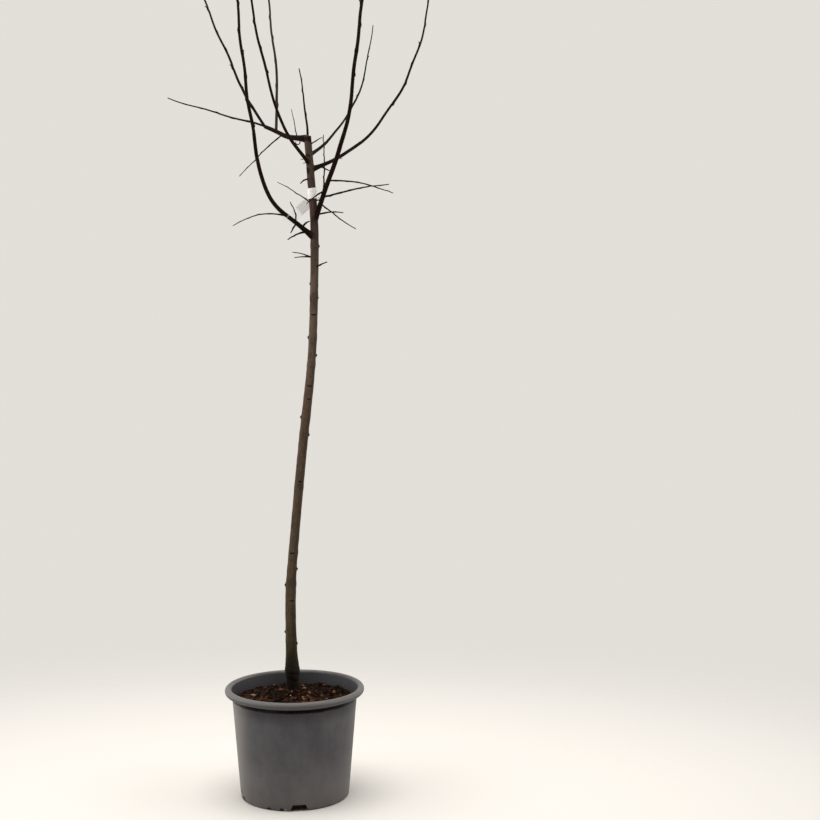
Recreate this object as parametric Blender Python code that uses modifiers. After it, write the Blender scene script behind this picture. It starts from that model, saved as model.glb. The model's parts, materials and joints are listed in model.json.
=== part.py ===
# Potted quince tree: a leafless young half-standard in a round grey nursery pot.
# Metres, +Z up. The origin is the centre of the pot's flat underside, and -Y is the front.
# The trunk stands in the soil a little behind the centre and leans to +X before it forks.

import math
import random

import bmesh
import bpy
from mathutils import Vector

# General sizes
GAP = 0.0003
STEPS_ROUND = 48
LIMB_STRIDE = 0.026
TWIG_STRIDE = 0.020

# Pot: outside radii and heights
POT_HEIGHT = 0.2523
POT_BASE_RADIUS = 0.1245
POT_WALL_SLOPE = 0.081
POT_WALL = 0.0030
POT_FLOOR = 0.0030
POT_EDGE_RADIUS = 0.0030
RIM_RADIUS = 0.160
RIM_OPENING_RADIUS = 0.1446
RIM_BEAD_HEIGHT = 0.016
RIM_FILLET = 0.004
NOTCH_COUNT = 4
NOTCH_FIRST_AZIMUTH = 279
NOTCH_WIDTH = 0.0445
NOTCH_TOP_WIDTH = 0.0285
NOTCH_HEIGHT = 0.0148
NOTCH_DEPTH = 0.030
NOTCH_BELOW = 0.002

# Soil: level at the wall, with a low mound round the trunk's foot
SOIL_LEVEL = 0.222
MOUND_HEIGHT = 0.010
MOUND_RADIUS = 0.088
MOUND_TOP_RADIUS = 0.026
MOUND_SUNK = 0.003

# Trunk: from the flat cut at the soil to the fork. The line is height and X, the girth is
# height and diameter without the root flare
TRUNK_FOOT = SOIL_LEVEL + MOUND_HEIGHT + GAP
TRUNK_TOP = 1.511
TRUNK_LINE = (
    (TRUNK_FOOT, -0.006), (0.34, -0.010), (0.47, -0.0105), (0.60, -0.0005), (0.80, 0.0185),
    (1.00, 0.040), (1.15, 0.0465), (1.31, 0.048), (1.42, 0.0405), (TRUNK_TOP, 0.0335),
)
TRUNK_GIRTH = (
    (TRUNK_FOOT, 0.0315), (0.262, 0.0325), (0.281, 0.0355), (0.296, 0.0315), (0.310, 0.0285),
    (0.330, 0.0263), (0.36, 0.0252), (0.48, 0.0240), (0.54, 0.0218), (0.92, 0.0208), (1.00, 0.0190),
    (1.29, 0.0188), (1.34, 0.0183), (1.45, 0.0174), (TRUNK_TOP, 0.0165),
)
TRUNK_Y_FOOT = 0.030
TRUNK_Y_TOP = 0.010
TRUNK_FLARE = 0.0040
TRUNK_FLARE_HEIGHT = 0.016
TRUNK_RINGS = 56

# Old bud knobs on the trunk: height, azimuth, length
KNOB_RISE = 15
KNOB_RADII = (0.0034, 0.0013)
KNOBS = (
    (0.341, 0, 0.0030), (0.368, 175, 0.0038), (0.479, 190, 0.0035), (0.516, 10, 0.0035),
    (0.828, 5, 0.0038), (0.869, 185, 0.0035), (1.011, 10, 0.0036), (1.052, 180, 0.0038),
    (1.143, 15, 0.0022), (1.175, 178, 0.0022), (1.260, 5, 0.0030),
)

# Label: a blank strap looped round the trunk, with a tail that hangs from its back to the left
LABEL_HEIGHT = 1.381
LABEL_WIDTH = 0.024
LABEL_RADIUS = 0.0122
LABEL_THICKNESS = 0.0008
LABEL_TAIL_LENGTH = 0.082
LABEL_TAIL_SLANT = 41
LABEL_TAIL_AZIMUTH = 177
LABEL_TAIL_SAG = 0.004
LABEL_TAIL_DROP = 0.010

# Boughs. 'at' is the height on the trunk, angles are in degrees and azimuth 0 is +X, 90 is +Y.
# 'rise' gives the angle above level at the foot, past the bend and at the tip. 'bend' gives the
# distance along to the middle of the bend, and the distance over which the limb turns.
# 'split' is where the bough ends and its shoot goes on, along the same line, to 'length'.
BOUGHS = {
    "left_low": dict(at=1.281, azimuth=208, rise=(35, 75, 93), bend=(0.147, 0.133),
                     length=1.00, split=0.30, diameter=(0.0104, 0.0020), phase=1.3),
    "right_low": dict(at=1.318, azimuth=320, rise=(63, 80, 81), bend=(0.229, 0.061),
                      length=1.03, split=0.34, diameter=(0.0116, 0.0022), phase=-1.1),
    "right_mid": dict(at=1.435, azimuth=27, rise=(21, 29, 104), bend=(0.143, 0.058),
                      length=0.76, split=0.27, diameter=(0.0086, 0.0020), phase=3.5),
    "left_mid": dict(at=1.447, azimuth=235, rise=(35, 58, 90), bend=(0.128, 0.145),
                     length=0.76, split=0.24, diameter=(0.0082, 0.0018), phase=3.1),
    "right_top": dict(at=1.467, azimuth=61, rise=(25, 34, 78), bend=(0.268, 0.049),
                      length=0.475, split=0.22, diameter=(0.0078, 0.0022), phase=3.5),
}
ARM = dict(at=1.5045, azimuth=158, rise=(7, 23, 26), bend=(0.054, 0.027),
           length=0.116, diameter=(0.0130, 0.0092), phase=5.2)

# Shoots that meet the arm or the trunk's tip: 'parent' and the distance along it
TIP_SINK = 0.001
SHOOTS = {
    "left_top": dict(parent="arm_tip", azimuth=156, rise=(54, 62, 69), bend=(0.08, 0.02),
                     length=0.68, diameter=(0.0068, 0.0018), phase=-0.2),
    "left_upright": dict(parent="arm", along=0.084, azimuth=150, rise=(92, 81, 85), bend=(0.113, 0.05),
                         length=0.60, diameter=(0.0067, 0.0019), phase=7.9),
    "leader": dict(parent="trunk", along=1.505, azimuth=160, rise=(88, 81, 82), bend=(0.028, 0.033),
                   length=0.163, diameter=(0.0055, 0.0024), phase=3.6),
}

# Short side twigs: parent, distance along it (height on the trunk), azimuth, rise at the foot and
# at the tip, length, foot diameter, phase
TWIGS = (
    ("trunk", 1.2125, 312, 22, 5, 0.052, 0.0045, 3),
    ("trunk", 1.234, 174, 28, 5, 0.057, 0.0035, 3),
    ("trunk", 1.237, 198, 6, -10, 0.050, 0.0039, 2),
    ("trunk", 1.356, 190, 38, 23, 0.098, 0.0031, 5),
    ("trunk", 1.416, 225, -10, -41, 0.038, 0.0046, 2),
    ("trunk", 1.488, 342, 36, 20, 0.042, 0.0036, 2),
    ("left_low", 0.038, 60, 46, 11, 0.037, 0.0056, 5),
    ("left_low", 0.022, 225, -6, -34, 0.065, 0.0050, 1),
    ("left_low", 0.056, 212, 92, 50, 0.052, 0.0037, 0),
    ("left_low", 0.055, 245, -43, -43, 0.038, 0.0048, 5),
    ("left_low", 0.080, 190, 15, -36, 0.132, 0.0038, 1),
    ("right_low", 0.017, 12, 17, -7, 0.065, 0.0044, 1),
    ("right_low", 0.044, 325, -33, -31, 0.122, 0.0037, 3),
    ("right_low", 0.060, 345, 12, 7, 0.160, 0.0048, 5),
    ("right_low", 0.076, 205, -27, -44, 0.057, 0.0043, 4),
    ("right_low", 0.066, 93, 40, 62, 0.203, 0.0041, 3),
    ("right_low", 0.100, 8, 2, -22, 0.153, 0.0041, 0),
    ("left_top", 0.027, 150, 78, 76, 0.071, 0.0028, 3),
    ("left_top", 0.066, 200, -38, -52, 0.144, 0.0035, 2),
)
TWIG_TIP_SHARE = 0.45
FAR_TWIG = dict(along=0.007, azimuth=176, rise=(10, 13, 19), bend=(0.022, 0.029),
                length=0.234, diameter=(0.0049, 0.0024), phase=2.9)

# Seeded growth of the shoots: spacing of the buds, turn from one to the next, and spurs on every
# third bud. Side shoots come on every second bud of the upper part of a long shoot
BUD_SPACING = 0.052
BUD_SHIFT = 0.010
BUD_TURN = 137.5
BUD_TURN_SPREAD = 40
SPUR_LENGTH = (0.007, 0.012)
SPUR_RISE = 42
SPUR_SHARE = (0.62, 0.28)
SPUR_END = 0.92
SIDE_SHOOT_START = 0.56
SIDE_SHOOT_LENGTH = (0.05, 0.13)
SIDE_SHOOT_SHARE = (0.55, 0.25)
SIDE_SHOOT_RISE = (52, 66)
LONG_SHOOT = 0.30

# A new twig keeps this far from every other limb, whose centre lines are read this far apart
CLEARANCE = 0.003
LINE_READ = 0.012

# Waver of every limb, in degrees, and its wave length
WAVER = 4.0
WAVER_LENGTH = 0.13

# Colours
POT_COLOUR = (0.078, 0.074, 0.073, 1.0)
SOIL_COLOUR = (0.040, 0.020, 0.011, 1.0)
TRUNK_COLOUR = (0.125, 0.098, 0.072, 1.0)
BOUGH_COLOUR = (0.040, 0.024, 0.018, 1.0)
TWIG_COLOUR = (0.090, 0.058, 0.038, 1.0)
LABEL_COLOUR = (0.78, 0.77, 0.75, 1.0)


def clear_objects():
    for old in list(bpy.data.objects):
        bpy.data.objects.remove(old, do_unlink=True)


def new_collection(name):
    collection = bpy.data.collections.new(name)
    bpy.context.scene.collection.children.link(collection)
    return collection


def make_material(name, colour, roughness):
    material = bpy.data.materials.new(name)
    material.use_nodes = True
    shader = material.node_tree.nodes["Principled BSDF"]
    shader.inputs["Base Color"].default_value = colour
    shader.inputs["Roughness"].default_value = roughness
    shader.inputs["Metallic"].default_value = 0.0
    material.diffuse_color = colour
    return material


def object_from_bmesh(bm, name, collection):
    mesh = bpy.data.meshes.new(name)
    bm.to_mesh(mesh)
    bm.free()
    made = bpy.data.objects.new(name, mesh)
    collection.objects.link(made)
    return made


def applied_copy(source, name, collection):
    """The source as its modifiers leave it, as a plain mesh object; the source is removed."""
    graph = bpy.context.evaluated_depsgraph_get()
    mesh = bpy.data.meshes.new_from_object(source.evaluated_get(graph))
    matrix = source.matrix_world.copy()
    bpy.data.objects.remove(source, do_unlink=True)
    mesh.name = name
    made = bpy.data.objects.new(name, mesh)
    made.matrix_world = matrix
    collection.objects.link(made)
    return made


def finish(part, material, sharp_angle=40):
    part.data.materials.clear()
    part.data.materials.append(material)
    part.data.shade_smooth()
    part.data.set_sharp_from_angle(angle=math.radians(sharp_angle))
    return part


def smooth_step(value):
    value = min(max(value, 0.0), 1.0)
    return value * value * (3.0 - 2.0 * value)


def heading(azimuth, rise):
    flat = math.cos(math.radians(rise))
    return Vector((
        flat * math.cos(math.radians(azimuth)),
        flat * math.sin(math.radians(azimuth)),
        math.sin(math.radians(rise)),
    ))


def smooth_through(knots, value):
    """Catmull-Rom curve through (place, size) knots, read at one place."""
    last = len(knots) - 2
    index = 0
    while index < last and value > knots[index + 1][0]:
        index += 1
    before = knots[max(index - 1, 0)]
    start = knots[index]
    end = knots[index + 1]
    after = knots[min(index + 2, last + 1)]
    span = end[0] - start[0]
    share = (value - start[0]) / span
    slope_start = (end[1] - before[1]) / (end[0] - before[0]) * span
    slope_end = (after[1] - start[1]) / (after[0] - start[0]) * span
    square = share * share
    cube = square * share
    return (
        start[1] * (2 * cube - 3 * square + 1)
        + slope_start * (cube - 2 * square + share)
        + end[1] * (3 * square - 2 * cube)
        + slope_end * (cube - square)
    )


def trunk_point(height):
    share = (height - TRUNK_FOOT) / (TRUNK_TOP - TRUNK_FOOT)
    depth = TRUNK_Y_FOOT + (TRUNK_Y_TOP - TRUNK_Y_FOOT) * share
    return Vector((smooth_through(TRUNK_LINE, height), depth, height))


def trunk_radius(height):
    """Half the girth, with the root flare at the foot."""
    flare = TRUNK_FLARE * math.exp(-(((height - TRUNK_FOOT) / TRUNK_FLARE_HEIGHT) ** 2))
    return 0.5 * (smooth_through(TRUNK_GIRTH, height) + flare)


def limb_line(start, azimuth, rise, bend, length, phase, steps):
    """Centre line of a limb: it leaves at the first rise, turns at the bend and eases to its tip."""
    foot, past, tip = rise
    stride = length / steps
    point = Vector(start)
    points = [point.copy()]
    for index in range(steps):
        along = (index + 0.5) * stride
        turned = smooth_step((along - bend[0]) / bend[1] + 0.5)
        angle = foot + (past - foot) * turned + (tip - past) * along / length
        wave = 2 * math.pi * along / WAVER_LENGTH + phase
        fade = min(along / WAVER_LENGTH, 1.0)
        angle += WAVER * fade * math.sin(wave)
        side = WAVER * fade * math.sin(0.62 * wave + 1.3)
        point = point + heading(azimuth + side, min(angle, 92)) * stride
        points.append(point.copy())
    return points


def taper(first, last, count):
    return [0.5 * (first + (last - first) * index / (count - 1)) for index in range(count)]


def point_along(points, distance):
    """Point at a distance along a line of points."""
    for first, second in zip(points, points[1:]):
        span = (second - first).length
        if distance <= span:
            return first.lerp(second, distance / span)
        distance -= span
    return points[-1].copy()


def cut_line(points, radii, distance):
    """A line of points cut in two at a distance; the second half starts past the gap."""
    travelled = 0.0
    for index in range(len(points) - 1):
        span = (points[index + 1] - points[index]).length
        if travelled + span > distance:
            share = (distance - travelled) / span
            place = points[index].lerp(points[index + 1], share)
            radius = radii[index] + (radii[index + 1] - radii[index]) * share
            onward = (points[index + 1] - points[index]).normalized()
            lower = (points[:index + 1] + [place], radii[:index + 1] + [radius])
            upper = ([place + onward * GAP] + points[index + 1:], [radius] + radii[index + 1:])
            return lower, upper
        travelled += span


def tube(name, points, radii, resolution, collection):
    """A tapering tube through the points, as a mesh with welded caps."""
    curve = bpy.data.curves.new(name, "CURVE")
    curve.dimensions = "3D"
    curve.bevel_depth = 1.0
    curve.bevel_resolution = resolution
    curve.use_fill_caps = True
    spline = curve.splines.new("POLY")
    spline.points.add(len(points) - 1)
    for control, point, radius in zip(spline.points, points, radii):
        control.co = (*point, 1.0)
        control.radius = radius
    guide = bpy.data.objects.new(name + "_curve", curve)
    collection.objects.link(guide)
    made = applied_copy(guide, name, collection)
    bm = bmesh.new()
    bm.from_mesh(made.data)
    bmesh.ops.remove_doubles(bm, verts=bm.verts, dist=0.00001)
    bmesh.ops.recalc_face_normals(bm, faces=bm.faces)
    bm.to_mesh(made.data)
    bm.free()
    return made


def grown_tube(name, points, radii, resolution):
    """The same tube grown by the gap all over, as a cutter for what meets it."""
    first = points[0] + (points[0] - points[1]).normalized() * GAP
    last = points[-1] + (points[-1] - points[-2]).normalized() * GAP
    made = tube(name, [first] + points[1:-1] + [last], [r + GAP for r in radii], resolution, cutters)
    made.hide_render = True
    made.display_type = "WIRE"
    return made


def cut_away(part, cutter):
    modifier = part.modifiers.new("clear_of_" + cutter.name, "BOOLEAN")
    modifier.operation = "DIFFERENCE"
    modifier.object = cutter
    return applied_copy(part, part.name, parts)


def join_all(name, pieces):
    """One Boolean union of the pieces, which must all overlap the first."""
    base = pieces[0]
    others = new_collection(name + "_pieces")
    for piece in pieces[1:]:
        for holder in list(piece.users_collection):
            holder.objects.unlink(piece)
        others.objects.link(piece)
    modifier = base.modifiers.new("join", "BOOLEAN")
    modifier.operation = "UNION"
    modifier.operand_type = "COLLECTION"
    modifier.collection = others
    joined = applied_copy(base, name, parts)
    for piece in list(others.objects):
        bpy.data.objects.remove(piece, do_unlink=True)
    bpy.data.collections.remove(others)
    return joined


def wall_radius(height):
    return POT_BASE_RADIUS + POT_WALL_SLOPE * height


def turned(name, profile, collection):
    """A solid turned from a profile of (radius, height) points that runs from axis to axis."""
    bm = bmesh.new()
    verts = [bm.verts.new((radius, 0.0, height)) for radius, height in profile]
    for first, second in zip(verts, verts[1:]):
        bm.edges.new((first, second))
    made = object_from_bmesh(bm, name, collection)
    screw = made.modifiers.new("turn", "SCREW")
    screw.axis = "Z"
    screw.steps = STEPS_ROUND
    screw.render_steps = STEPS_ROUND
    screw.use_merge_vertices = True
    screw.merge_threshold = 0.00001
    return made


def bead_profile():
    """Rolled rim from the opening, over the top and down its outer side."""
    points = 9
    centre = 0.5 * (RIM_RADIUS + RIM_OPENING_RADIUS)
    half_width = 0.5 * (RIM_RADIUS - RIM_OPENING_RADIUS)
    half_height = 0.5 * RIM_BEAD_HEIGHT
    middle = POT_HEIGHT - half_height
    profile = []
    for index in range(points):
        angle = math.pi * (1.0 - 1.5 * index / (points - 1))
        profile.append((centre + half_width * math.cos(angle), middle + half_height * math.sin(angle)))
    return profile


def make_pot():
    bead_foot = POT_HEIGHT - RIM_BEAD_HEIGHT
    edge = POT_EDGE_RADIUS
    corner = POT_BASE_RADIUS - edge
    profile = [(0.0, POT_FLOOR), (wall_radius(POT_FLOOR) - POT_WALL, POT_FLOOR)]
    profile.append((wall_radius(SOIL_LEVEL) - POT_WALL, SOIL_LEVEL))
    profile.extend(bead_profile())
    profile.append((wall_radius(bead_foot) + 0.2 * RIM_FILLET, bead_foot + 0.15 * RIM_FILLET))
    profile.append((wall_radius(bead_foot - RIM_FILLET), bead_foot - RIM_FILLET))
    for index in range(4):
        angle = math.radians(30 * index)
        profile.append((corner + edge * math.cos(angle), edge - edge * math.sin(angle)))
    profile.append((0.0, 0.0))
    pot = turned("pot", profile, parts)
    for index in range(NOTCH_COUNT):
        cutter = notch_cutter("notch_%d" % index, NOTCH_FIRST_AZIMUTH + 360 * index / NOTCH_COUNT)
        modifier = pot.modifiers.new("notch", "BOOLEAN")
        modifier.operation = "DIFFERENCE"
        modifier.object = cutter
    return finish(pot, make_material("pot_grey", POT_COLOUR, 0.6), 35)


def notch_cutter(name, azimuth):
    """A block with slanting ends, wider at the ground, that cuts the base edge."""
    bm = bmesh.new()
    bmesh.ops.create_cube(bm, size=1.0)
    splay = (NOTCH_WIDTH - NOTCH_TOP_WIDTH) / NOTCH_HEIGHT
    outside = POT_BASE_RADIUS + NOTCH_HEIGHT
    inside = POT_BASE_RADIUS - NOTCH_DEPTH
    for vert in bm.verts:
        at_top = vert.co.z > 0
        width = NOTCH_TOP_WIDTH if at_top else NOTCH_WIDTH + splay * NOTCH_BELOW
        vert.co.x = outside if vert.co.x > 0 else inside
        vert.co.y = math.copysign(0.5 * width, vert.co.y)
        vert.co.z = NOTCH_HEIGHT if at_top else -NOTCH_BELOW
    cutter = object_from_bmesh(bm, name, cutters)
    cutter.rotation_euler.z = math.radians(azimuth)
    cutter.hide_render = True
    cutter.display_type = "WIRE"
    return cutter


def make_soil():
    bottom = POT_FLOOR + GAP
    inside = POT_WALL + 2 * GAP
    level = SOIL_LEVEL - GAP
    profile = [
        (0.0, level),
        (wall_radius(level) - inside, level),
        (wall_radius(bottom) - inside, bottom),
        (0.0, bottom),
    ]
    soil = turned("soil_bed", profile, parts)
    foot = trunk_point(TRUNK_FOOT)
    slope = (MOUND_RADIUS - MOUND_TOP_RADIUS) / MOUND_HEIGHT
    height = MOUND_HEIGHT + MOUND_SUNK
    bm = bmesh.new()
    bmesh.ops.create_cone(
        bm, cap_ends=True, segments=28, radius1=MOUND_RADIUS + slope * MOUND_SUNK,
        radius2=MOUND_TOP_RADIUS, depth=height,
    )
    mound = object_from_bmesh(bm, "mound", parts)
    mound.location = (foot.x, foot.y, TRUNK_FOOT - GAP - 0.5 * height)
    joined = join_all("soil", [soil, mound])
    return finish(joined, make_material("soil_bark", SOIL_COLOUR, 0.95))


def make_trunk():
    heights = [
        TRUNK_FOOT + (TRUNK_TOP - TRUNK_FOOT) * (index / TRUNK_RINGS) ** 1.15
        for index in range(TRUNK_RINGS + 1)
    ]
    line = [trunk_point(height) for height in heights]
    # The first ring is level, for a flat cut that stands on the soil
    line[1].xy = line[0].xy
    radii = [trunk_radius(height) for height in heights]
    pieces = [tube("stem", line, radii, 4, parts)]
    for index, (height, azimuth, length) in enumerate(KNOBS):
        base = trunk_point(height)
        reach = trunk_radius(height) / math.cos(math.radians(KNOB_RISE)) + length
        tip = base + heading(azimuth, KNOB_RISE) * reach
        pieces.append(tube("knob_%d" % index, [base, tip], KNOB_RADII, 1, parts))
    trunk = join_all("trunk", pieces)
    lines["trunk"] = (line, radii)
    grown["trunk"] = grown_tube("trunk_grown", line, radii, 4)
    return finish(trunk, make_material("trunk_bark", TRUNK_COLOUR, 0.7))


def make_label():
    """The loop, and a flat tail that leaves its back and hangs down to the left."""
    centre = trunk_point(LABEL_HEIGHT)
    half = 0.5 * LABEL_THICKNESS
    bm = bmesh.new()
    corners = (
        (LABEL_RADIUS + half, 0.5 * LABEL_WIDTH), (LABEL_RADIUS + half, -0.5 * LABEL_WIDTH),
        (LABEL_RADIUS - half, -0.5 * LABEL_WIDTH), (LABEL_RADIUS - half, 0.5 * LABEL_WIDTH),
    )
    verts = [bm.verts.new((radius, 0.0, height)) for radius, height in corners]
    for index in range(4):
        bm.edges.new((verts[index], verts[(index + 1) % 4]))
    loop = object_from_bmesh(bm, "loop", parts)
    screw = loop.modifiers.new("turn", "SCREW")
    screw.axis = "Z"
    screw.steps = 24
    screw.render_steps = 24
    screw.use_merge_vertices = True
    screw.merge_threshold = 0.00001
    loop.location = centre
    bm = bmesh.new()
    bmesh.ops.create_grid(bm, x_segments=8, y_segments=1, size=0.5)
    for vert in bm.verts:
        share = vert.co.x + 0.5
        sag = -LABEL_TAIL_SAG * share ** 2
        vert.co = Vector((share * LABEL_TAIL_LENGTH, sag, vert.co.y * LABEL_WIDTH))
    tail = object_from_bmesh(bm, "tail", parts)
    solid = tail.modifiers.new("sheet", "SOLIDIFY")
    solid.thickness = LABEL_THICKNESS
    solid.offset = 0.0
    facing = math.radians(LABEL_TAIL_AZIMUTH)
    tail.rotation_euler = (0.0, math.radians(LABEL_TAIL_SLANT), facing)
    back = heading(LABEL_TAIL_AZIMUTH - 90, 0) * LABEL_RADIUS
    tail.location = centre + back - Vector((0.0, 0.0, LABEL_TAIL_DROP))
    label = join_all("label", [loop, tail])
    return finish(label, make_material("label_white", LABEL_COLOUR, 0.5))


def touches(points, radius, own):
    """True where a new twig comes too near a limb other than the one that carries it."""
    for other, (line, radii) in lines.items():
        if other == own:
            continue
        for place in points:
            for centre, reach in zip(line, radii):
                if (place - centre).length < radius + reach + CLEARANCE + LINE_READ:
                    return True
    return False


def side_growth(name, line, radii, seed):
    """Bud spurs and side shoots on one stem, turning from one bud to the next."""
    draw = random.Random(seed)
    length = sum((b - a).length for a, b in zip(line, line[1:]))
    made = []
    for index in range(1, int(length / BUD_SPACING)):
        along = BUD_SPACING * index + BUD_SHIFT * draw.random()
        azimuth = BUD_TURN * index + BUD_TURN_SPREAD * draw.random() + 90 * seed
        reach = draw.uniform(*SIDE_SHOOT_LENGTH)
        spur = draw.uniform(*SPUR_LENGTH)
        share = along / length
        base = point_along(line, along)
        thick = radii[0] + (radii[-1] - radii[0]) * share
        is_shoot = share > SIDE_SHOOT_START and index % 2 == 0 and length > LONG_SHOOT
        if is_shoot:
            low, high = SIDE_SHOOT_RISE
            twig = limb_line(base, azimuth, (low, low, high), (0.03, 0.03), reach * (1.5 - share), index, 5)
            sizes = taper(2 * thick * SIDE_SHOOT_SHARE[0], 2 * thick * SIDE_SHOOT_SHARE[1], len(twig))
        elif index % 3 == 0 and share < SPUR_END:
            twig = [base, base + heading(azimuth, SPUR_RISE) * (thick + spur)]
            sizes = [thick * SPUR_SHARE[0], thick * SPUR_SHARE[1]]
        else:
            continue
        if touches(twig[1:], sizes[0], name):
            continue
        made.append(tube("%s_twig_%d" % (name, index), twig, sizes, 1 if is_shoot else 0, parts))
    return made


def make_boughs(material):
    """The boughs on the trunk; each is cut where its shoot takes over."""
    for name, size in BOUGHS.items():
        steps = int(size["length"] / LIMB_STRIDE)
        line = limb_line(
            trunk_point(size["at"]), size["azimuth"], size["rise"], size["bend"],
            size["length"], size["phase"], steps,
        )
        radii = taper(*size["diameter"], len(line))
        lower, upper = cut_line(line, radii, size["split"])
        bough = tube("bough_" + name, *lower, 2, parts)
        lines[name] = lower
        stems[name] = upper
        grown[name] = grown_tube(name + "_grown", *lower, 2)
        finish(cut_away(bough, grown["trunk"]), material)
    line = limb_line(
        trunk_point(ARM["at"]), ARM["azimuth"], ARM["rise"], ARM["bend"], ARM["length"], ARM["phase"], 8,
    )
    radii = taper(*ARM["diameter"], len(line))
    lines["left_top"] = (line, radii)
    grown["left_top"] = grown_tube("left_top_grown", line, radii, 3)
    finish(cut_away(tube("bough_left_top", line, radii, 3, parts), grown["trunk"]), material)


def plan_shoots():
    """Stems of the shoots that meet the arm's tip, the arm's side and the trunk's tip."""
    for name, size in SHOOTS.items():
        arm = lines["left_top"][0]
        onward = (arm[-1] - arm[-2]).normalized()
        if size["parent"] == "trunk":
            start = trunk_point(size["along"])
        elif size["parent"] == "arm_tip":
            start = arm[-1] - onward * TIP_SINK
        else:
            start = point_along(arm, size["along"])
        steps = int(size["length"] / LIMB_STRIDE)
        line = limb_line(
            start, size["azimuth"], size["rise"], size["bend"], size["length"], size["phase"], steps,
        )
        stems[name] = (line, taper(*size["diameter"], len(line)))


def make_shoots(material):
    """Each shoot is one stem with its spurs and side shoots joined on."""
    for name, (line, radii) in stems.items():
        lines[name + "_shoot"] = (line, radii)
    for seed, (name, (line, radii)) in enumerate(stems.items()):
        resolution = 2 if name in BOUGHS else 1
        pieces = [tube(name + "_stem", line, radii, resolution, parts)]
        if name == "left_top":
            pieces.append(far_twig(line))
        pieces.extend(side_growth(name + "_shoot", line, radii, seed))
        joined = join_all("shoots_" + name, pieces)
        if name in SHOOTS:
            joined = cut_away(joined, grown["left_top"])
        if name == "leader":
            joined = cut_away(joined, grown["trunk"])
        finish(joined, material)


def far_twig(stem):
    """The long thin twig that reaches furthest to the left, from the foot of the shoot."""
    start = point_along(stem, FAR_TWIG["along"])
    line = limb_line(
        start, FAR_TWIG["azimuth"], FAR_TWIG["rise"], FAR_TWIG["bend"],
        FAR_TWIG["length"], FAR_TWIG["phase"], 10,
    )
    return tube("far_twig", line, taper(*FAR_TWIG["diameter"], len(line)), 1, parts)


def make_twigs(material):
    """The short side twigs, each from the middle of its limb and trimmed to the limb's surface."""
    for index, (parent, along, azimuth, foot, tip, length, diameter, phase) in enumerate(TWIGS):
        if parent == "trunk":
            start = trunk_point(along)
        else:
            start = point_along(lines[parent][0], along)
        steps = max(int(length / TWIG_STRIDE), 3)
        rise = (foot, foot, tip)
        line = limb_line(start, azimuth, rise, (0.02, 0.02), length, phase, steps)
        radii = taper(diameter, diameter * TWIG_TIP_SHARE, len(line))
        twig = tube("twig_%s_%d" % (parent, index + 1), line, radii, 1, parts)
        lines["twig_%d" % index] = (line, radii)
        finish(cut_away(twig, grown[parent]), material)


clear_objects()
parts = new_collection("potted_quince_tree")
cutters = new_collection("cutters")
lines = {}
stems = {}
grown = {}

make_pot()
make_soil()
make_trunk()
make_label()
bough_material = make_material("bough_bark", BOUGH_COLOUR, 0.6)
twig_material = make_material("twig_bark", TWIG_COLOUR, 0.6)
make_boughs(bough_material)
plan_shoots()
make_twigs(twig_material)
make_shoots(twig_material)
for cutter in list(grown.values()):
    bpy.data.objects.remove(cutter, do_unlink=True)
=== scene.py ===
# A potted quince tree in winter: a young half-standard in a round grey nursery pot
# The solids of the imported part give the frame, and every piece here stands where they stand
import json
import math
import random

import bpy
import numpy as np
from mathutils import Matrix, Vector, kdtree, noise

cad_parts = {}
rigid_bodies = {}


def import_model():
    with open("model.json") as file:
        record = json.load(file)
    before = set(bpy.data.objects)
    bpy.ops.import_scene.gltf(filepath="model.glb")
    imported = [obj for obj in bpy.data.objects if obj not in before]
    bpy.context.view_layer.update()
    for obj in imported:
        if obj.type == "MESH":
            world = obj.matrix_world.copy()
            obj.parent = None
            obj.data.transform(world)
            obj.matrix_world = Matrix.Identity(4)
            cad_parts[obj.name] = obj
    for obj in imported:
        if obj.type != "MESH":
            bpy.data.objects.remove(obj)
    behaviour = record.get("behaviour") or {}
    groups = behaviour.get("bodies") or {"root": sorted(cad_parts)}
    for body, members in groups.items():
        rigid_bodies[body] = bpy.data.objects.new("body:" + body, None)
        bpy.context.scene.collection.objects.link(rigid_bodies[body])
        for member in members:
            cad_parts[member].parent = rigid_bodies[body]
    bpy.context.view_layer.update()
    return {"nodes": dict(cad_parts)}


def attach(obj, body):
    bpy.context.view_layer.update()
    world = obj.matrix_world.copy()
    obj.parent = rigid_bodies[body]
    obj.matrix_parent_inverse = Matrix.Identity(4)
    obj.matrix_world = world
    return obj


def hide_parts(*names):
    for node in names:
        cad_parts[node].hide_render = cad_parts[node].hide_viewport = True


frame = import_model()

print("frame: %d solids" % len(frame["nodes"]))


# Picking, placing and joining pieces

def dropPicks():
    if bpy.context.object and bpy.context.object.mode != "OBJECT":
        bpy.ops.object.mode_set(mode="OBJECT")
    bpy.ops.object.select_all(action="DESELECT")


def pick(piece):
    dropPicks()
    piece.select_set(True)
    bpy.context.view_layer.objects.active = piece


def applyPlace(piece):
    pick(piece)
    bpy.ops.object.transform_apply(location=True, rotation=True, scale=True)


def modify(piece, kind, **settings):
    # adds one modifier and applies it at once
    made = piece.modifiers.new(kind.lower(), kind)
    for name, value in settings.items():
        setattr(made, name, value)
    pick(piece)
    bpy.ops.object.modifier_apply(modifier=made.name)


def addObject(name, data):
    made = bpy.data.objects.new(name, data)
    bpy.context.collection.objects.link(made)
    return made


def meshPiece(name, points, edges=(), faces=()):
    mesh = bpy.data.meshes.new(name)
    mesh.from_pydata(points, edges, faces)
    return addObject(name, mesh)


def join(name, pieces):
    dropPicks()
    for piece in pieces:
        piece.select_set(True)
    bpy.context.view_layer.objects.active = pieces[0]
    bpy.ops.object.join()
    pieces[0].name = name
    pieces[0].data.name = name
    return pieces[0]


weldDistance = 0.00001


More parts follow.
